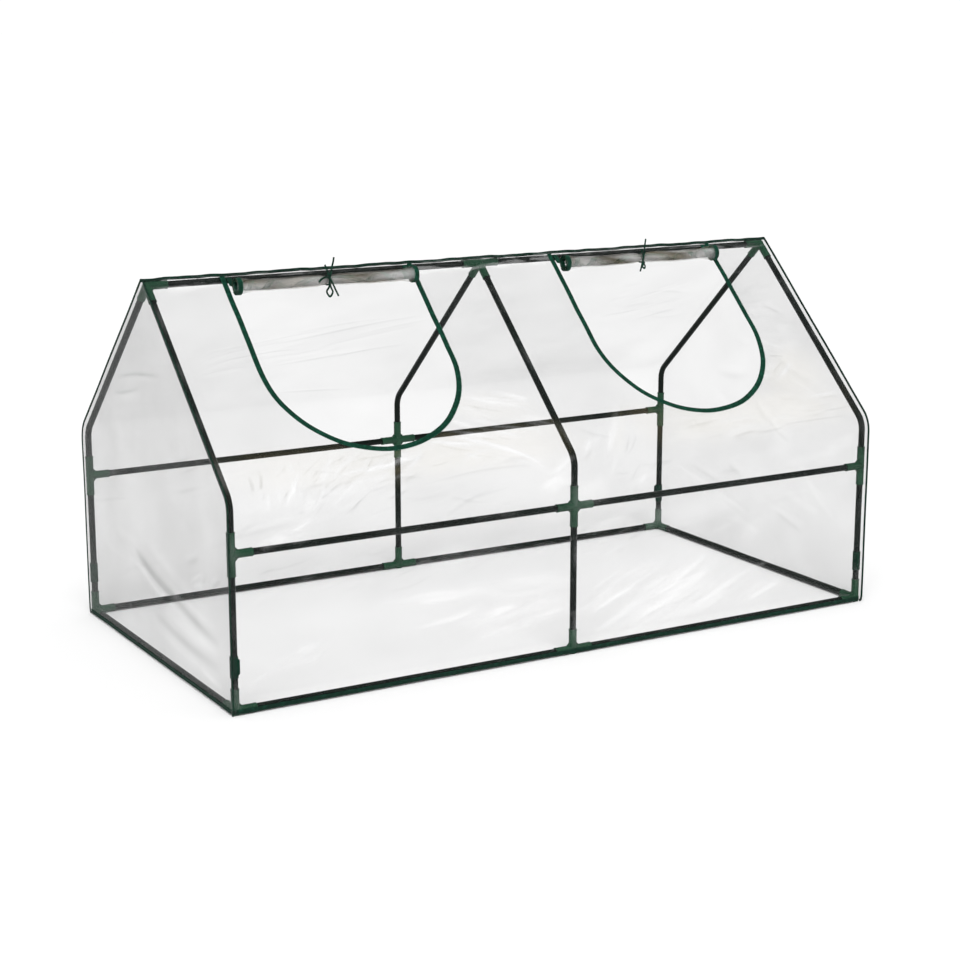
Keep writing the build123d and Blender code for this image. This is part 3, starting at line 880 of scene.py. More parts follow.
def gable_sheet(name, way, creases, painted_shade_base, seed, look, material):
    """A gable panel, flat in its own plane, with the seam allowance all round."""
    half = SECTION[:-1, :2] + SECTION[:-1, 2:] * (FIN - 0.2 * MM)
    outline = np.concatenate([half * (-1, 1), half[::-1][1:]])
    step = look.mesh_step
    lengths = np.concatenate([[0], np.cumsum(np.linalg.norm(np.diff(outline, axis=0), axis=1))])
    at = np.linspace(0, lengths[-1], int(lengths[-1] / step))
    outline = np.stack([np.interp(at, lengths, outline[:, k]) for k in range(2)], axis=1)
    hem = np.linspace(outline[-1], outline[0], int(2 * HALF_WIDTH / step))[1:-1]
    outline = np.concatenate([outline, hem])[::-1]
    extra = crease_points(creases, (-HALF_WIDTH, HEM), (HALF_WIDTH, RIDGE))
    flat, faces = flat_mesh(outline, [], step, extra)
    y, z = flat[:, 0], flat[:, 1]
    from_edge = np.full(len(flat), np.inf)
    for start in range(0, len(outline), 64):
        gap = np.linalg.norm(flat[:, None] - outline[None, start:start + 64], axis=2).min(1)
        from_edge = np.minimum(from_edge, gap)
    free = 1 - np.exp(-(np.maximum(from_edge - 12 * MM, 0) / 0.05) ** 2)
    height, painted_light_and_warmth = crease_film(creases, y, z)
    lift = (look.crease_depth * 1.6 * height * (0.1 + 0.9 * free)
            + 0.4 * look.fold_depth * (slack(y, z, seed) - 0.7) * free)
    lift = np.clip(lift, -6 * MM * free, 5 * MM)
    # painted shade over the whole gable, on top of the creases' painted light and shade
    painted_light_and_warmth = painted_light_and_warmth + painted_shade_base + 0.03 * slack(y, z, seed + 2, 0.2)
    x = way * (HALF_LENGTH + FILM_OFFSET + 0.5 * MM + lift)
    points = np.stack([x, y, z], axis=1)
    if way < 0:
        faces = faces[:, ::-1]
    return add_film(name, points, faces, flat, painted_light_and_warmth, np.zeros_like(y), material)


# --- Operators ----------------------------------------------------------------------------
class GREENHOUSE_OT_paint_frame(bpy.types.Operator):
    """Give the tubes and connectors of the frame their finish"""
    bl_idname = "greenhouse.paint_frame"
    bl_label = "Paint the frame"

    def execute(self, context):
        finish_ = context.scene.frame_finish
        coat = powder_coat(finish_.tube_colour)
        plastic = moulded_plastic("connector_plastic", finish_.connector_colour)
        tubes = ("leg_front", "leg_back", "upper_tube", "bottom_rail", "side_rail", "ridge_rail")
        joints = ("corner_connector", "base_tee", "side_tee", "side_cross", "ridge_connector")
        for name, node in frame["nodes"].items():
            if name.startswith(tubes):
                node.material_slots[0].material = coat
            elif name.startswith(joints):
                node.material_slots[0].material = plastic
        return {"FINISHED"}


class GREENHOUSE_OT_add_film(bpy.types.Operator):
    """Add the clear film: one sheet for each long side and one for each gable"""
    bl_idname = "greenhouse.add_film"
    bl_label = "Add the film cover"

    def execute(self, context):
        cover = context.scene.cover_finish
        film = clear_film("clear_film", cover.film_colour, cover.warm_colour, cover.film_density)
        front = long_sheet("front_film", -1, FRONT_CREASES, FRONT_PAINTED_HIGHLIGHT_PATCHES, FRONT_WARMTH, 61,
                           BAYS.values(), cover, film)
        finish(front, ROOT, ("cover_front_wall", "cover_front_roof"))
        back = long_sheet("back_film", 1, BACK_CREASES, (), (), 62, (), cover, film)
        finish(back, ROOT, ("cover_back_wall", "cover_back_roof"))
        for bay, way in GABLES.items():
            gable = gable_sheet(f"gable_film_{bay}", way, GABLE_CREASES[bay], GABLE_PAINTED_SHADE[bay],
                                64 + way, cover, film)
            finish(gable, ROOT, (f"cover_gable_{bay}",))
        return {"FINISHED"}


def waver(count, size, seed, waves=(3, 7, 13)):
    """A slight wander of a sewn tape along its length."""
    rng = np.random.default_rng(seed)
    t = np.linspace(0, 1, count)
    total = sum(np.sin(2 * math.pi * (w * t + rng.uniform(0, 1))) / (1 + 0.3 * k)
                for k, w in enumerate(waves))
    return total * size / 2


def folded_section(width, thickness):
    """Tape folded over an edge: thin at its lips, round at the fold."""
    t, w = thickness / 2, width
    return [(-t * 0.8, 0), (-t, w * 0.35), (-t, w * 0.75), (-t * 0.55, w * 0.95), (0, w),
            (t * 0.55, w * 0.95), (t, w * 0.75), (t, w * 0.35), (t * 0.8, 0)]


class GREENHOUSE_OT_add_bindings(bpy.types.Operator):
    """Add the woven tape on the gable seams, the ridge seam and the hem"""
    bl_idname = "greenhouse.add_bindings"
    bl_label = "Add the binding tape"

    def execute(self, context):
        cover, zips = context.scene.cover_finish, context.scene.window_finish
        tape = woven_tape("binding_tape", cover.tape_colour)
        thread = moulded_plastic("stitch_thread", shade(cover.tape_colour, 2.2)[:3], (0.5, 0.7))
        section = folded_section(FIN + 1.2 * MM, 2.2 * MM)
        stitches = []
        bands = []
        for way in GABLES.values():
            corner = 16 * MM
            keep = SECTION[:-1][::2]
            half = keep[:, :2] + keep[:, 2:] * 0.6 * MM
            normals = keep[:, 2:]
            line = np.concatenate([half * (-1, 1), half[::-1][1:]])
            up = np.concatenate([normals * (-1, 1), normals[::-1][1:]])
            low = line[:, 1] < HEM + corner
            past = (HEM + corner - line[:, 1]) / corner
            tuck = np.where(low, (1 - np.sqrt(np.clip(1 - past ** 2, 0, 1))), 0)
            line = line - up * (tuck * 6 * MM)[:, None]
            line = line + up * waver(len(line), 0.5 * MM, 71 + way)[:, None]
            x = way * (HALF_LENGTH + FILM_OFFSET + 0.3 * MM) + waver(len(line), 0.5 * MM, 74 + way)
            points = np.column_stack([x, line])
            ups = np.column_stack([np.zeros(len(up)), up])
            bands.append(swept(points, ups, section))
            for face in (-1, 1):
                row = points + ups * 2.2 * MM
                row[:, 0] += face * 1.15 * MM
                stitches.append((row, (face, 0, 0)))
        gable = joined("gable_binding_tape", bands, tape)
        finish(gable, ROOT, ("gable_bindings",))

        count = 360
        x = np.linspace(-(HALF_LENGTH + FILM_OFFSET + FIN), HALF_LENGTH + FILM_OFFSET + FIN, count)
        z = np.full(count, RIDGE + FILM_OFFSET - 0.9 * MM) + waver(count, 1.2 * MM, 77, (7, 17, 31))
        points = np.column_stack([x, waver(count, 0.6 * MM, 78, (4, 9, 19)), z])
        deep = folded_section(FIN + 2.6 * MM, 2.6 * MM)
        ridge = joined("ridge_binding_tape", [swept(points, (0, 0, 1), deep)], tape)
        finish(ridge, ROOT, ("ridge_binding",))
        for face in (-1, 1):
            stitches.append((points + (0, face * 1.35 * MM, 3.4 * MM), (0, face, 0)))

        finish(self.hem(tape, stitches), ROOT, ("hem_binding",))
        sewn = beads("seam_stitches", stitches, zips.stitch_pitch,
                     (3.0 * MM, 0.7 * MM, 0.5 * MM), thread)
        finish(sewn, ROOT)
        return {"FINISHED"}

    def hem(self, tape, stitches):
        """A flat band round the cover's lower edge, with rounded corners."""
        radius, step = 14 * MM, 10 * MM
        half_x = HALF_LENGTH + FILM_OFFSET + 1.2 * MM
        half_y = HALF_WIDTH + FILM_OFFSET + 1.2 * MM
        line, ups = [], []
        for corner in range(4):
            cx = (half_x - radius) * (1 if corner in (0, 3) else -1)
            cy = (half_y - radius) * (1 if corner in (0, 1) else -1)
            for a in np.linspace(0, math.pi / 2, 7):
                turn = a + corner * math.pi / 2
                line.append((cx + radius * math.cos(turn), cy + radius * math.sin(turn)))
        line = np.array(line)
        closed = np.concatenate([line, line[:1]])
        lengths = np.concatenate([[0], np.cumsum(np.linalg.norm(np.diff(closed, axis=0), axis=1))])
        at = np.linspace(0, lengths[-1], int(lengths[-1] / step), endpoint=False)
        flat = np.stack([np.interp(at, lengths, closed[:, k]) for k in range(2)], axis=1)
        ahead = np.roll(flat, -1, 0) - np.roll(flat, 1, 0)
        ups = unit(np.column_stack([ahead[:, 1], -ahead[:, 0], np.zeros(len(flat))]))
        height = HEM + 6.5 * MM + waver(len(flat), 0.6 * MM, 81, (8, 17, 31))
        points = np.column_stack([flat, height])
        for level in (-3.6 * MM, 3.6 * MM):
            row = points + ups * 0.6 * MM + (0, 0, level)
            stitches.append((np.concatenate([row, row[:1]]), np.concatenate([ups, ups[:1]])))
        section = np.array(flat_section(10 * MM, 1.1 * MM))
        return joined("hem_binding_tape", [swept(points, ups, section, closed=True)], tape)


def slope_points(flat, out, centre_x=0.0):
    """Points (x, down) on the front slope as an array, this far out from the tube centres."""
    flat = np.asarray(flat, float)
    base = np.array(on_slope(centre_x, 0))
    return (base + flat[:, :1] * (1, 0, 0) + flat[:, 1:2] * np.array(DOWN)
            + np.reshape(out, (-1, 1)) * np.array(OUT))


class GREENHOUSE_OT_add_zips(bpy.types.Operator):
    """Add the cover's half of each window zip: tape, teeth and stitching"""
    bl_idname = "greenhouse.add_zips"
    bl_label = "Add the window zips"

    def execute(self, context):
        look = context.scene.window_finish
        tape = woven_tape("zip_tape", look.zip_colour, 0.7 * MM)
        teeth = moulded_plastic("zip_teeth", shade(look.zip_colour, 1.5)[:3], (0.2, 0.35))
        bands, rows, seams = [], [], []
        for way in BAYS.values():
            top = -4 * MM
            flat = window_edge(ZIP_HALF_WIDTH, top, 6 * MM)
            wander = waver(len(flat), 0.8 * MM, 91 + way, (4, 9, 14))
            points = slope_points(flat, FILM_OFFSET + 0.9 * MM, way * WINDOW_CENTRE)
            _, across, _ = frame_along(points, OUT)
            points = points + across * wander[:, None]
            bands.append(swept(points, OUT, flat_section(2 * TAPE_HALF, 0.8 * MM)))
            inner = -1 if across[0][0] * -1 > 0 else 1
            rows.append((points - across * inner * (TAPE_HALF - 0.6 * MM)
                         + np.array(OUT) * 0.8 * MM, OUT))
            for shift in (1.4 * MM, 4.2 * MM):
                seams.append((points + across * inner * shift + np.array(OUT) * 0.45 * MM, OUT))
        zip_tape = joined("window_zip_tape", bands, tape)
        finish(zip_tape, ROOT, ("window_zips",))
        row = beads("window_zip_teeth", rows, look.tooth_pitch, (1.5 * MM, 3.6 * MM, 1.7 * MM), teeth)
        finish(row, ROOT)
        sewn = beads("window_zip_stitches", seams, look.stitch_pitch,
                     (3.0 * MM, 0.6 * MM, 0.45 * MM), teeth)
        finish(sewn, ROOT)
        return {"FINISHED"}


# --- Rolled flap --------------------------------------------------------------------------
FLAP_HALF = ZIP_HALF_WIDTH - TAPE_HALF - 3 * MM
FLAP_END = WINDOW_STRAIGHT + FLAP_HALF
ROLL_CORE = 7.5 * MM
ROLLED = FLAP_END - ROLL_DISTANCE
WIND = (ROLL_RADIUS ** 2 - ROLL_CORE ** 2) / (2 * ROLLED)


def flap_half_width(down):
    return np.where(down < WINDOW_STRAIGHT, FLAP_HALF,
                    np.sqrt(np.maximum(FLAP_HALF ** 2 - (down - WINDOW_STRAIGHT) ** 2, 0)))


def smooth(value, low, high):
    t = np.clip((value - low) / (high - low), 0, 1)
    return t * t * (3 - 2 * t)


def rolled(x, down, centre_x, seed, thicker=0.0):
    """Where a point of the flat flap lies once it is rolled up, and the roll's outward direction.

    The film comes down from the ridge seam, meets the roll on its inner side and winds inwards.
    """
    rng = np.random.default_rng(seed)
    phase = rng.uniform(0, 6.3, 6)
    length = np.maximum(down - ROLL_DISTANCE, 0)
    radius = np.sqrt(np.maximum(ROLL_RADIUS ** 2 - 2 * WIND * length, ROLL_CORE ** 2))
    angle = (ROLL_RADIUS - radius) / WIND
    near_edge = smooth(np.abs(x), FLAP_HALF - 45 * MM, FLAP_HALF - 8 * MM)
    coil = (COIL_RADIUS - ROLL_RADIUS - 0.5 * MM) * (1 - smooth(down, ROLL_DISTANCE, WINDOW_STRAIGHT))
    radius = radius + coil * near_edge + thicker
    radius = radius * (1 - 0.34 * np.exp(-(x / (18 * MM)) ** 2))
    ripple = (np.sin(3 * angle + x * 31 + phase[0]) + np.sin(5 * angle - x * 55 + phase[1])
              + np.sin(2 * angle + x * 92 + phase[2])) / 3
    radius = radius + 0.7 * MM * ripple * (1 - near_edge) * smooth(length, 0, 20 * MM)
    sag = 1.6 * MM * np.sin(np.clip(np.abs(x) / FLAP_HALF, 0, 1) * math.pi) ** 2
    centre = (np.array(on_slope(centre_x, ROLL_DISTANCE, ROLL_OFFSET))
              + np.stack([x, 0 * x, -sag], axis=1))
    down_, out = np.array(DOWN), np.array(OUT)
    spoke = -np.cos(angle)[:, None] * out + np.sin(angle)[:, None] * down_
    wound = centre + radius[:, None] * spoke
    # the stretch between the ridge seam and the roll hangs straight
    hang = np.clip(down / ROLL_DISTANCE, -0.3, 1)
    top_out = FILM_OFFSET + 2.6 * MM
    reach = -(radius - ROLL_OFFSET)
    rise = top_out + (reach - top_out) * smooth(hang, 0, 1)
    straight = (np.array(on_slope(centre_x, 0)) + np.stack([x, 0 * x, 0 * x], axis=1)
                + down[:, None] * down_ + rise[:, None] * out)
    on_roll = (down >= ROLL_DISTANCE)[:, None]
    points = np.where(on_roll, wound, straight - [0, 0, 1] * sag[:, None] * smooth(hang, 0, 1)[:, None])
    ups = np.where(on_roll, spoke, -out[None])
    return points, ups


def flap_grid(count_down, count_across, top):
    """Flat points (x, down) and faces over the whole flap."""
    down = np.linspace(top, FLAP_END - 1.5 * MM, count_down)
    share = np.linspace(-1, 1, count_across)
    x = flap_half_width(down)[:, None] * share[None]
    flat = np.stack([x, np.broadcast_to(down[:, None], x.shape)], axis=2).reshape(-1, 2)
    faces = [(i * count_across + j, i * count_across + j + 1, (i + 1) * count_across + j + 1,
              (i + 1) * count_across + j)
             for i in range(count_down - 1) for j in range(count_across - 1)]
    return flat, faces


class GREENHOUSE_OT_add_rolls(bpy.types.Operator):
    """Add each rolled window flap: the wound film with its half of the zip rolled in"""
    bl_idname = "greenhouse.add_rolls"
    bl_label = "Add the rolled flaps"

    def execute(self, context):
        look, cover = context.scene.window_finish, context.scene.cover_finish
        film = clear_film("rolled_film", cover.film_colour, cover.warm_colour, 0.03)
        tape = bpy.data.materials["look_zip_tape"]
        teeth = bpy.data.materials["look_zip_teeth"]
        for bay, way in BAYS.items():
            centre, seed = way * WINDOW_CENTRE, 101 + way
            flat, faces = flap_grid(look.roll_turns, 60, ROLL_DISTANCE)
            points, _ = rolled(flat[:, 0], flat[:, 1], centre, seed)
            # painted light and shade: lighter and darker streaks along the wound film
            painted_streaks = slack(flat[:, 0], flat[:, 1] * 4, seed, 0.10)
            roll = add_film(f"rolled_film_{bay}", points, faces, flat, 0.16 + 0.85 * painted_streaks,
                            0.35 + 0.3 * slack(flat[:, 0], flat[:, 1], seed + 1, 0.2), film)
            finish(roll, f"roll_{bay}", (f"window_roll_{bay}",))

            strip, strip_faces = self.strip()
            points, _ = rolled(strip[:, 0], strip[:, 1], centre, seed)
            none = np.zeros(len(strip))
            hanging = add_film(f"flap_head_{bay}", points, strip_faces, strip, none, none, film)
            finish(hanging, f"flap_{bay}", (f"window_flap_{bay}",))

            line = self.zip_line(ROLL_DISTANCE)
            points, ups = rolled(line[:, 0], line[:, 1], centre, seed, thicker=0.5 * MM)
            _, across, _ = frame_along(points, ups)
            band = swept(points, ups, flat_section(11 * MM, 1.0 * MM))
            wound = joined(f"wound_zip_{bay}", [band], tape)
            finish(wound, f"roll_{bay}", (f"rolled_zip_{bay}",))
            row = beads(f"wound_zip_teeth_{bay}", [(points + across * 5 * MM, ups)],
                        look.tooth_pitch, (1.5 * MM, 3.2 * MM, 1.7 * MM), teeth)
            finish(row, f"roll_{bay}")

            for piece in (roll, hanging, wound, row):
                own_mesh(piece)
        return {"FINISHED"}

    def strip(self):
        down = np.linspace(-9 * MM, ROLL_DISTANCE, 12)
        x = np.linspace(-FLAP_HALF, FLAP_HALF, 60)
        flat = np.stack(np.meshgrid(x, down), axis=2).reshape(-1, 2)
        faces = [(i * 60 + j, i * 60 + j + 1, (i + 1) * 60 + j + 1, (i + 1) * 60 + j)
                 for i in range(11) for j in range(59)]
        return flat, faces

    def zip_line(self, top):
        """The flap's edge from one top corner round to the other, in small steps."""
        down = np.arange(top, WINDOW_STRAIGHT, 2 * MM)
        turns = np.linspace(0, math.pi, 260)
        inset = TAPE_HALF
        left = [(-(FLAP_HALF - inset), d) for d in down]
        arc = [(-(FLAP_HALF - inset) * math.cos(a), WINDOW_STRAIGHT + (FLAP_HALF - inset) * math.sin(a))
               for a in turns]
        return np.array(left + arc + [(-x, d) for x, d in left[::-1]])


class GREENHOUSE_OT_add_laid_flaps(bpy.types.Operator):
    """Add the film that each flap lays down as it unrolls, packed under the ridge at rest"""
    bl_idname = "greenhouse.add_laid_flaps"
    bl_label = "Add the unrolled film"

    def execute(self, context):
        cover = context.scene.cover_finish
        film = bpy.data.materials["look_clear_film"]
        tape = bpy.data.materials["look_zip_tape"]
        for bay, way in BAYS.items():
            centre = way * WINDOW_CENTRE
            flat, faces = flap_grid(110, 70, 2 * MM)
            flat = flat * (1.012, 1)
            creases = family((0, 0.26), (0.18, 0.20), 6, 10, 14, 0.20, 0.008, (-0.3, 0.35), 111 + way)
            # the creases give this film painted light and shade too
            height, painted_light_and_warmth = crease_film(creases, flat[:, 0], flat[:, 1])
            out = FILM_OFFSET + 0.6 * MM + cover.crease_depth * height
            packed = np.column_stack([flat[:, 0], self.packed(flat[:, 1])])
            laid = add_film(f"laid_film_{bay}", slope_points(packed, out, centre), faces, flat,
                            painted_light_and_warmth, np.zeros_like(painted_light_and_warmth), film)
            edge = window_edge(FLAP_HALF + 0.5 * MM - TAPE_HALF, 2 * MM, 6 * MM)
            points = slope_points(edge, FILM_OFFSET + 1.8 * MM, centre)
            band, band_faces, uv = swept(points, OUT, flat_section(2 * TAPE_HALF, 0.8 * MM))
            down = (band - np.array(on_slope(centre, 0))) @ np.array(DOWN)
            band = band + (self.packed(down) - down)[:, None] * np.array(DOWN)
            trim = joined(f"laid_zip_{bay}", [(band, band_faces, uv)], tape)
            for piece, slot in ((laid, "clear_film"), (trim, "zip_tape")):
                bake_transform(piece)
        return {"FINISHED"}

    low, high = 4 * MM, ROLL_DISTANCE - 1 * MM

    def packed(self, down):
        """Where a point this far down the unrolled flap lies while the window is rolled up."""
        share = np.linspace(0, 1, 400)
        rest = self.low + (self.high - self.low) * share
        laid = rest + share * share * (3 - 2 * share) * TRAVEL
        return np.where(down < self.low, down, np.interp(down, laid, rest))


class GREENHOUSE_OT_add_sliders(bpy.types.Operator):
    """Add the zip sliders with their pull tabs"""
    bl_idname = "greenhouse.add_sliders"
    bl_label = "Add the zip sliders"

    def execute(self, context):
        look = context.scene.window_finish
        paint = glossy_metal_paint("slider_paint", shade(look.zip_colour, 0.8)[:3])
        for bay, way in BAYS.items():
            x = way * WINDOW_CENTRE + ZIP_HALF_WIDTH
            slider = self.slider(f"slider_and_pull_{bay}", x, paint)
            finish(slider, f"slider_{bay}", (f"zip_slider_{bay}",))
        return {"FINISHED"}

    def slider(self, name, x, paint):
        """Two tapered plates, the bridge between them and a pull."""
        seat, down = FILM_OFFSET + 2.2 * MM, 36 * MM
        edit = bmesh.new()

        def plate(outline, low, high, soften=0.35 * MM):
            bottom = [edit.verts.new(on_slope(x + px, py, low)) for px, py in outline]
            top = [edit.verts.new(on_slope(x + px, py, high)) for px, py in outline]
            faces = [edit.faces.new(bottom[::-1]), edit.faces.new(top)]
            for i in range(len(outline)):
                j = (i + 1) % len(outline)
                faces.append(edit.faces.new((bottom[i], bottom[j], top[j], top[i])))
            edges = {e for f in faces for e in f.edges}
            bmesh.ops.bevel(edit, geom=list(edges), offset=soften, segments=2, affect="EDGES")

        def oval(half_x, half_y, middle_y, waist=0.0, count=18):
            return [(half_x * math.cos(a) * (1 - waist * (math.sin(a) > 0.2)),
                     middle_y + half_y * math.sin(a))
                    for a in np.linspace(0, 2 * math.pi, count, endpoint=False)]

        plate(oval(4.0 * MM, 5.4 * MM, down, 0.25), seat, seat + 1.0 * MM)
        plate(oval(3.7 * MM, 5.0 * MM, down, 0.25), seat + 1.8 * MM, seat + 2.7 * MM)
        plate(oval(1.2 * MM, 3.4 * MM, down), seat + 0.6 * MM, seat + 3.9 * MM, 0.25 * MM)
        plate(oval(2.4 * MM, 10.5 * MM, down + 11 * MM), seat + 3.9 * MM, seat + 4.9 * MM, 0.3 * MM)
        bmesh.ops.recalc_face_normals(edit, faces=edit.faces)
        mesh = bpy.data.meshes.new(name)
        edit.to_mesh(mesh)
        edit.free()
        mesh.polygons.foreach_set("use_smooth", [True] * len(mesh.polygons))
        mesh.materials.append(paint)
        piece = bpy.data.objects.new(name, mesh)
        bpy.context.scene.collection.objects.link(piece)
        return piece


def curve_through(points, count=60):
    """A smooth line through a few points (Catmull-Rom)."""
    p = np.asarray(points, float)
    p = np.concatenate([[2 * p[0] - p[1]], p, [2 * p[-1] - p[-2]]])
    result = []
    spans = len(p) - 3
    for i in range(spans):
        for t in np.linspace(0, 1, count // spans, endpoint=(i == spans - 1)):
            a, b, c, d = p[i:i + 4]
            result.append(0.5 * (2 * b + (c - a) * t + (2 * a - 5 * b + 4 * c - d) * t ** 2
                                 + (3 * b - a - 3 * c + d) * t ** 3))
    return np.array(result)


class GREENHOUSE_OT_add_ties(bpy.types.Operator):
    """Add the narrow tape tied round each roll"""
    bl_idname = "greenhouse.add_ties"
    bl_label = "Add the roll ties"

    def execute(self, context):
        cover = context.scene.cover_finish
        tape = woven_tape("tie_tape", shade(cover.tape_colour, 1.2)[:3], 0.6 * MM)
        for bay, way in BAYS.items():
            axis = np.array(on_slope(way * WINDOW_CENTRE, ROLL_DISTANCE, ROLL_OFFSET))
            parts = []
            turns = np.linspace(0, 2 * math.pi, 40, endpoint=False)
            spokes = np.column_stack([0 * turns, np.cos(turns), np.sin(turns)])
            slant = np.column_stack([1.2 * MM * np.sin(turns), 0 * turns, 0 * turns])
            ring = axis + spokes * (12.9 * MM) + slant
            parts.append(swept(ring, spokes, flat_section(5 * MM, 1.8 * MM), closed=True))
            for strand in self.strands(way):
                line = curve_through([axis + np.array(p) * MM for p in strand], 40)
                ups = np.column_stack([np.full(len(line), 0.35), np.full(len(line), -1.0),
                                       np.full(len(line), 0.25)])
                parts.append(swept(line, ups, flat_section(5.2 * MM, 2.2 * MM)))
            tie = joined(f"tie_tape_{bay}", parts, tape)
            finish(tie, f"flap_{bay}", (f"roll_tie_{bay}",))
        return {"FINISHED"}

    def strands(self, way):
        """Each loose end and the bow's loop, from the roll's axis, in millimetres: x, y, z."""
        knot = (0, -12.6, 6)
        if way < 0:
            return [
                [knot, (2, -14, 16), (4, -15, 30), (8, -15, 44), (10, -15, 55)],
                [knot, (-4, -14, 15), (-9, -15, 26), (-14, -15, 38)],
                [knot, (4, -16, -4), (11, -17, -20), (20, -17, -38)],
                [knot, (-2, -16, -6), (-5, -17, -16), (-11, -17, -26), (-3, -17.5, -38), (5, -17, -28),
                 (1, -17, -18), (-2, -18, -9)],
                [knot, (-12, -14, 8), (-22, -15, 5), (-30, -15, -2)],
            ]
        return [
            [knot, (2, -14, 14), (1, -15, 30), (4, -15, 50)],
            [knot, (-4, -14, 12), (-7, -15, 18), (-10, -15, 24)],
            [knot, (-2, -15, -2), (-3, -16, -12), (2, -17, -20), (0, -17.5, -26), (-6, -17, -22),
             (-3, -17, -15), (0, -18, -10)],
            [knot, (-4, -15, -4), (-9, -17, -20), (-13, -17, -34)],
        ]


class GREENHOUSE_OT_add_straps(bpy.types.Operator):
    """Add the hook-and-loop straps round the corner legs"""
    bl_idname = "greenhouse.add_straps"
    bl_label = "Add the leg straps"

    def execute(self, context):
        fuzz = hook_and_loop(context.scene.cover_finish.tape_colour)
        height = STRAP_HIGH.z - STRAP_LOW.z
        middle_z = (STRAP_HIGH.z + STRAP_LOW.z) / 2
        parts = []
        for side in SIDES.values():
            for way in GABLES.values():
                turns = np.linspace(0, 2 * math.pi * 1.1, 46)
                spin = way * side
                end = math.atan2(side, 0)
                radius = TUBE_RADIUS + 0.6 * MM + 0.9 * MM * turns / turns[-1]
                angles = end + (turns - turns[-1]) * spin
                ring = np.column_stack([np.cos(angles) * radius, np.sin(angles) * radius, 0 * turns])
                ahead = unit((ring[-1:] - ring[-2:-1]))[0]
                reach = np.linspace(1, 9, 8)[:, None]
                tab = ring[-1] + ahead * reach * MM + (0, side * 0.02 * MM, 0) * reach ** 2
                line = np.concatenate([ring, tab]) + (way * HALF_LENGTH, side * HALF_WIDTH, middle_z)
                points, faces, uv = self.band(line, np.array(flat_section(height, 1.3 * MM)))
                frayed = self.ragged(points, uv, middle_z)
                points = points + np.column_stack([0 * uv[:, 0], 0 * uv[:, 0], frayed])
                parts.append((points, faces, uv))
        straps = joined("leg_strap_tape", parts, fuzz)
        finish(straps, ROOT, ("leg_straps",))
        return {"FINISHED"}

    def ragged(self, points, uv, middle_z):
        """The loose end is cut on a slant: its lower edge rises and its tip droops."""
        out = np.clip((uv[:, 0] - uv[:, 0].max() + 9 * MM) / (9 * MM), 0, 1)
        low = points[:, 2] < middle_z
        return out * np.where(low, 12 * MM, -6 * MM)

    def band(self, line, section):
        tangents = unit(np.gradient(line, axis=0))
        ups = np.cross(np.broadcast_to((0, 0, 1.0), tangents.shape), tangents)
        return swept(line, ups, section)


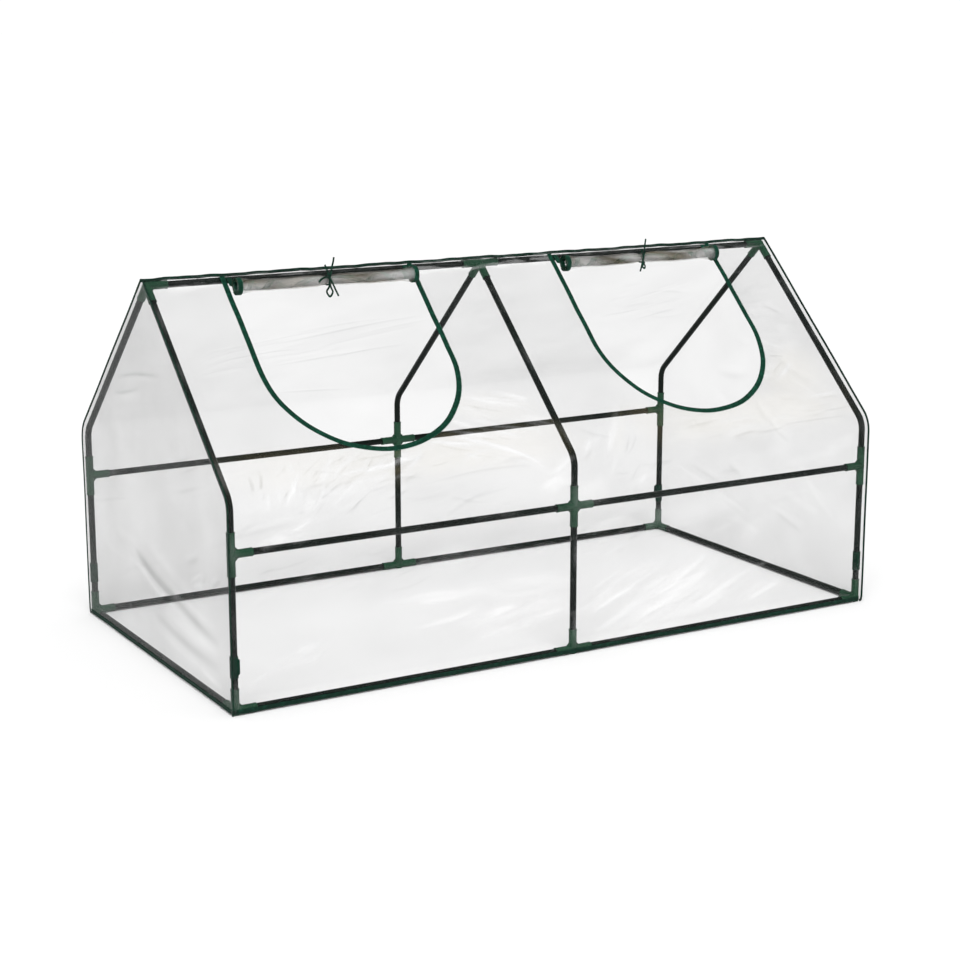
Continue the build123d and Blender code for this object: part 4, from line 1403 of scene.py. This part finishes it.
class GREENHOUSE_OT_set_stage(bpy.types.Operator):
    """Add the camera, the floor and the soft studio light"""
    bl_idname = "greenhouse.set_stage"
    bl_label = "Set the stage"

    def execute(self, context):
        scene, look = context.scene, context.scene.stage_finish
        self.camera(scene)
        self.floor(look)
        self.sky(scene)
        self.sun(look)
        self.softbox("left_light", (-4.5, -2.2, 2.6), (0, 0, 0.4), (0.16, 2.6), 7)
        self.softbox("right_light", (3.6, -4.0, 2.2), (0, 0, 0.4), (0.14, 2.8), 6)
        self.softbox("top_light", (0.0, -1.6, 4.4), (0, 0, 0.5), (4.0, 0.14), 8)
        scene.view_settings.view_transform = "Standard"
        return {"FINISHED"}

    def camera(self, scene):
        lens = bpy.data.cameras.new("camera")
        lens.sensor_width, lens.lens, lens.clip_end = 36, 75.48, 1000
        camera = bpy.data.objects.new("camera", lens)
        camera.location = (-2.5501, -4.3765, 1.5062)
        camera.rotation_euler = (math.radians(90 - 12.945), 0, math.radians(-30.248))
        scene.collection.objects.link(camera)
        scene.camera = camera

    def floor(self, look):
        paint = Painter("pale_floor")
        paint.set(Base_Color=shade(look.floor_colour, 1.0), Roughness=0.95)
        paint.shader.inputs["Specular IOR Level"].default_value = 0.0
        half = look.floor_size / 2
        points = [(-half, -half, 0), (half, -half, 0), (half, half, 0), (-half, half, 0)]
        floor = new_piece("floor", points, [(0, 1, 2, 3)], paint.material, solid=False, smooth=False)

    def sky(self, scene):
        """A studio that is white at eye level and darker overhead."""
        world = bpy.data.worlds.new("studio")
        world.use_nodes = True
        tree = world.node_tree
        way = tree.nodes.new("ShaderNodeTexCoord")
        split = tree.nodes.new("ShaderNodeSeparateXYZ")
        ramp = tree.nodes.new("ShaderNodeMapRange")
        # the world is at its brightest near the horizon and dims overhead
        for socket, value in (("From Min", 0.06), ("From Max", 0.40),
                              ("To Min", 1.06), ("To Max", 0.45)):
            ramp.inputs[socket].default_value = value
        tree.links.new(way.outputs["Generated"], split.inputs[0])
        tree.links.new(split.outputs["Z"], ramp.inputs["Value"])
        tree.links.new(ramp.outputs[0], tree.nodes["Background"].inputs["Strength"])
        tree.nodes["Background"].inputs["Color"].default_value = (1, 1, 1, 1)
        scene.world = world

    def sun(self, look):
        light = bpy.data.lights.new("sun", "SUN")
        light.energy, light.angle = look.sun_strength, math.radians(40)
        lamp = bpy.data.objects.new("sun", light)
        lamp.rotation_euler = (math.radians(32), math.radians(-18), 0)
        lamp.visible_glossy = False
        bpy.context.scene.collection.objects.link(lamp)

    def softbox(self, name, place, target, size, power):
        light = bpy.data.lights.new(name, "AREA")
        light.shape, light.size, light.size_y, light.energy = "RECTANGLE", size[0], size[1], power
        lamp = bpy.data.objects.new(name, light)
        lamp.location = place
        lamp.rotation_euler = (Vector(target) - Vector(place)).to_track_quat("-Z", "Y").to_euler()
        bpy.context.scene.collection.objects.link(lamp)


OPERATORS = (
    GREENHOUSE_OT_set_stage, GREENHOUSE_OT_paint_frame, GREENHOUSE_OT_add_film,
    GREENHOUSE_OT_add_bindings, GREENHOUSE_OT_add_zips, GREENHOUSE_OT_add_rolls,
    GREENHOUSE_OT_add_laid_flaps, GREENHOUSE_OT_add_sliders, GREENHOUSE_OT_add_ties,
    GREENHOUSE_OT_add_straps,
)
GROUPS = {
    "frame_finish": FrameFinish, "cover_finish": CoverFinish,
    "window_finish": WindowFinish, "stage_finish": StageFinish,
}


class GREENHOUSE_PT_panel(bpy.types.Panel):
    """Settings and steps of the greenhouse, in the order they are run"""
    bl_idname = "GREENHOUSE_PT_panel"
    bl_label = "Mini greenhouse"
    bl_space_type = "VIEW_3D"
    bl_region_type = "UI"
    bl_category = "Greenhouse"

    def draw(self, context):
        for group_name, group in GROUPS.items():
            box = self.layout.box()
            for field in group.__annotations__:
                box.prop(getattr(context.scene, group_name), field)
        for operator in OPERATORS:
            self.layout.operator(operator.bl_idname)


def register():
    for group_name, group in GROUPS.items():
        bpy.utils.register_class(group)
        setattr(bpy.types.Scene, group_name, PointerProperty(type=group))
    for item in (*OPERATORS, GREENHOUSE_PT_panel):
        bpy.utils.register_class(item)


def unregister():
    for item in (GREENHOUSE_PT_panel, *reversed(OPERATORS)):
        bpy.utils.unregister_class(item)
    for group_name, group in GROUPS.items():
        delattr(bpy.types.Scene, group_name)
        bpy.utils.unregister_class(group)


def clear_startup_scene():
    for name in ("Cube", "Light", "Camera"):
        if name in bpy.data.objects:
            bpy.data.objects.remove(bpy.data.objects[name])
    bpy.context.view_layer.update()


def main():
    clear_startup_scene()
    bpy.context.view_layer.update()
    register()
    for operator in OPERATORS:
        group, name = operator.bl_idname.split(".")
        getattr(getattr(bpy.ops, group), name)()


if __name__ == "__main__":
    main()
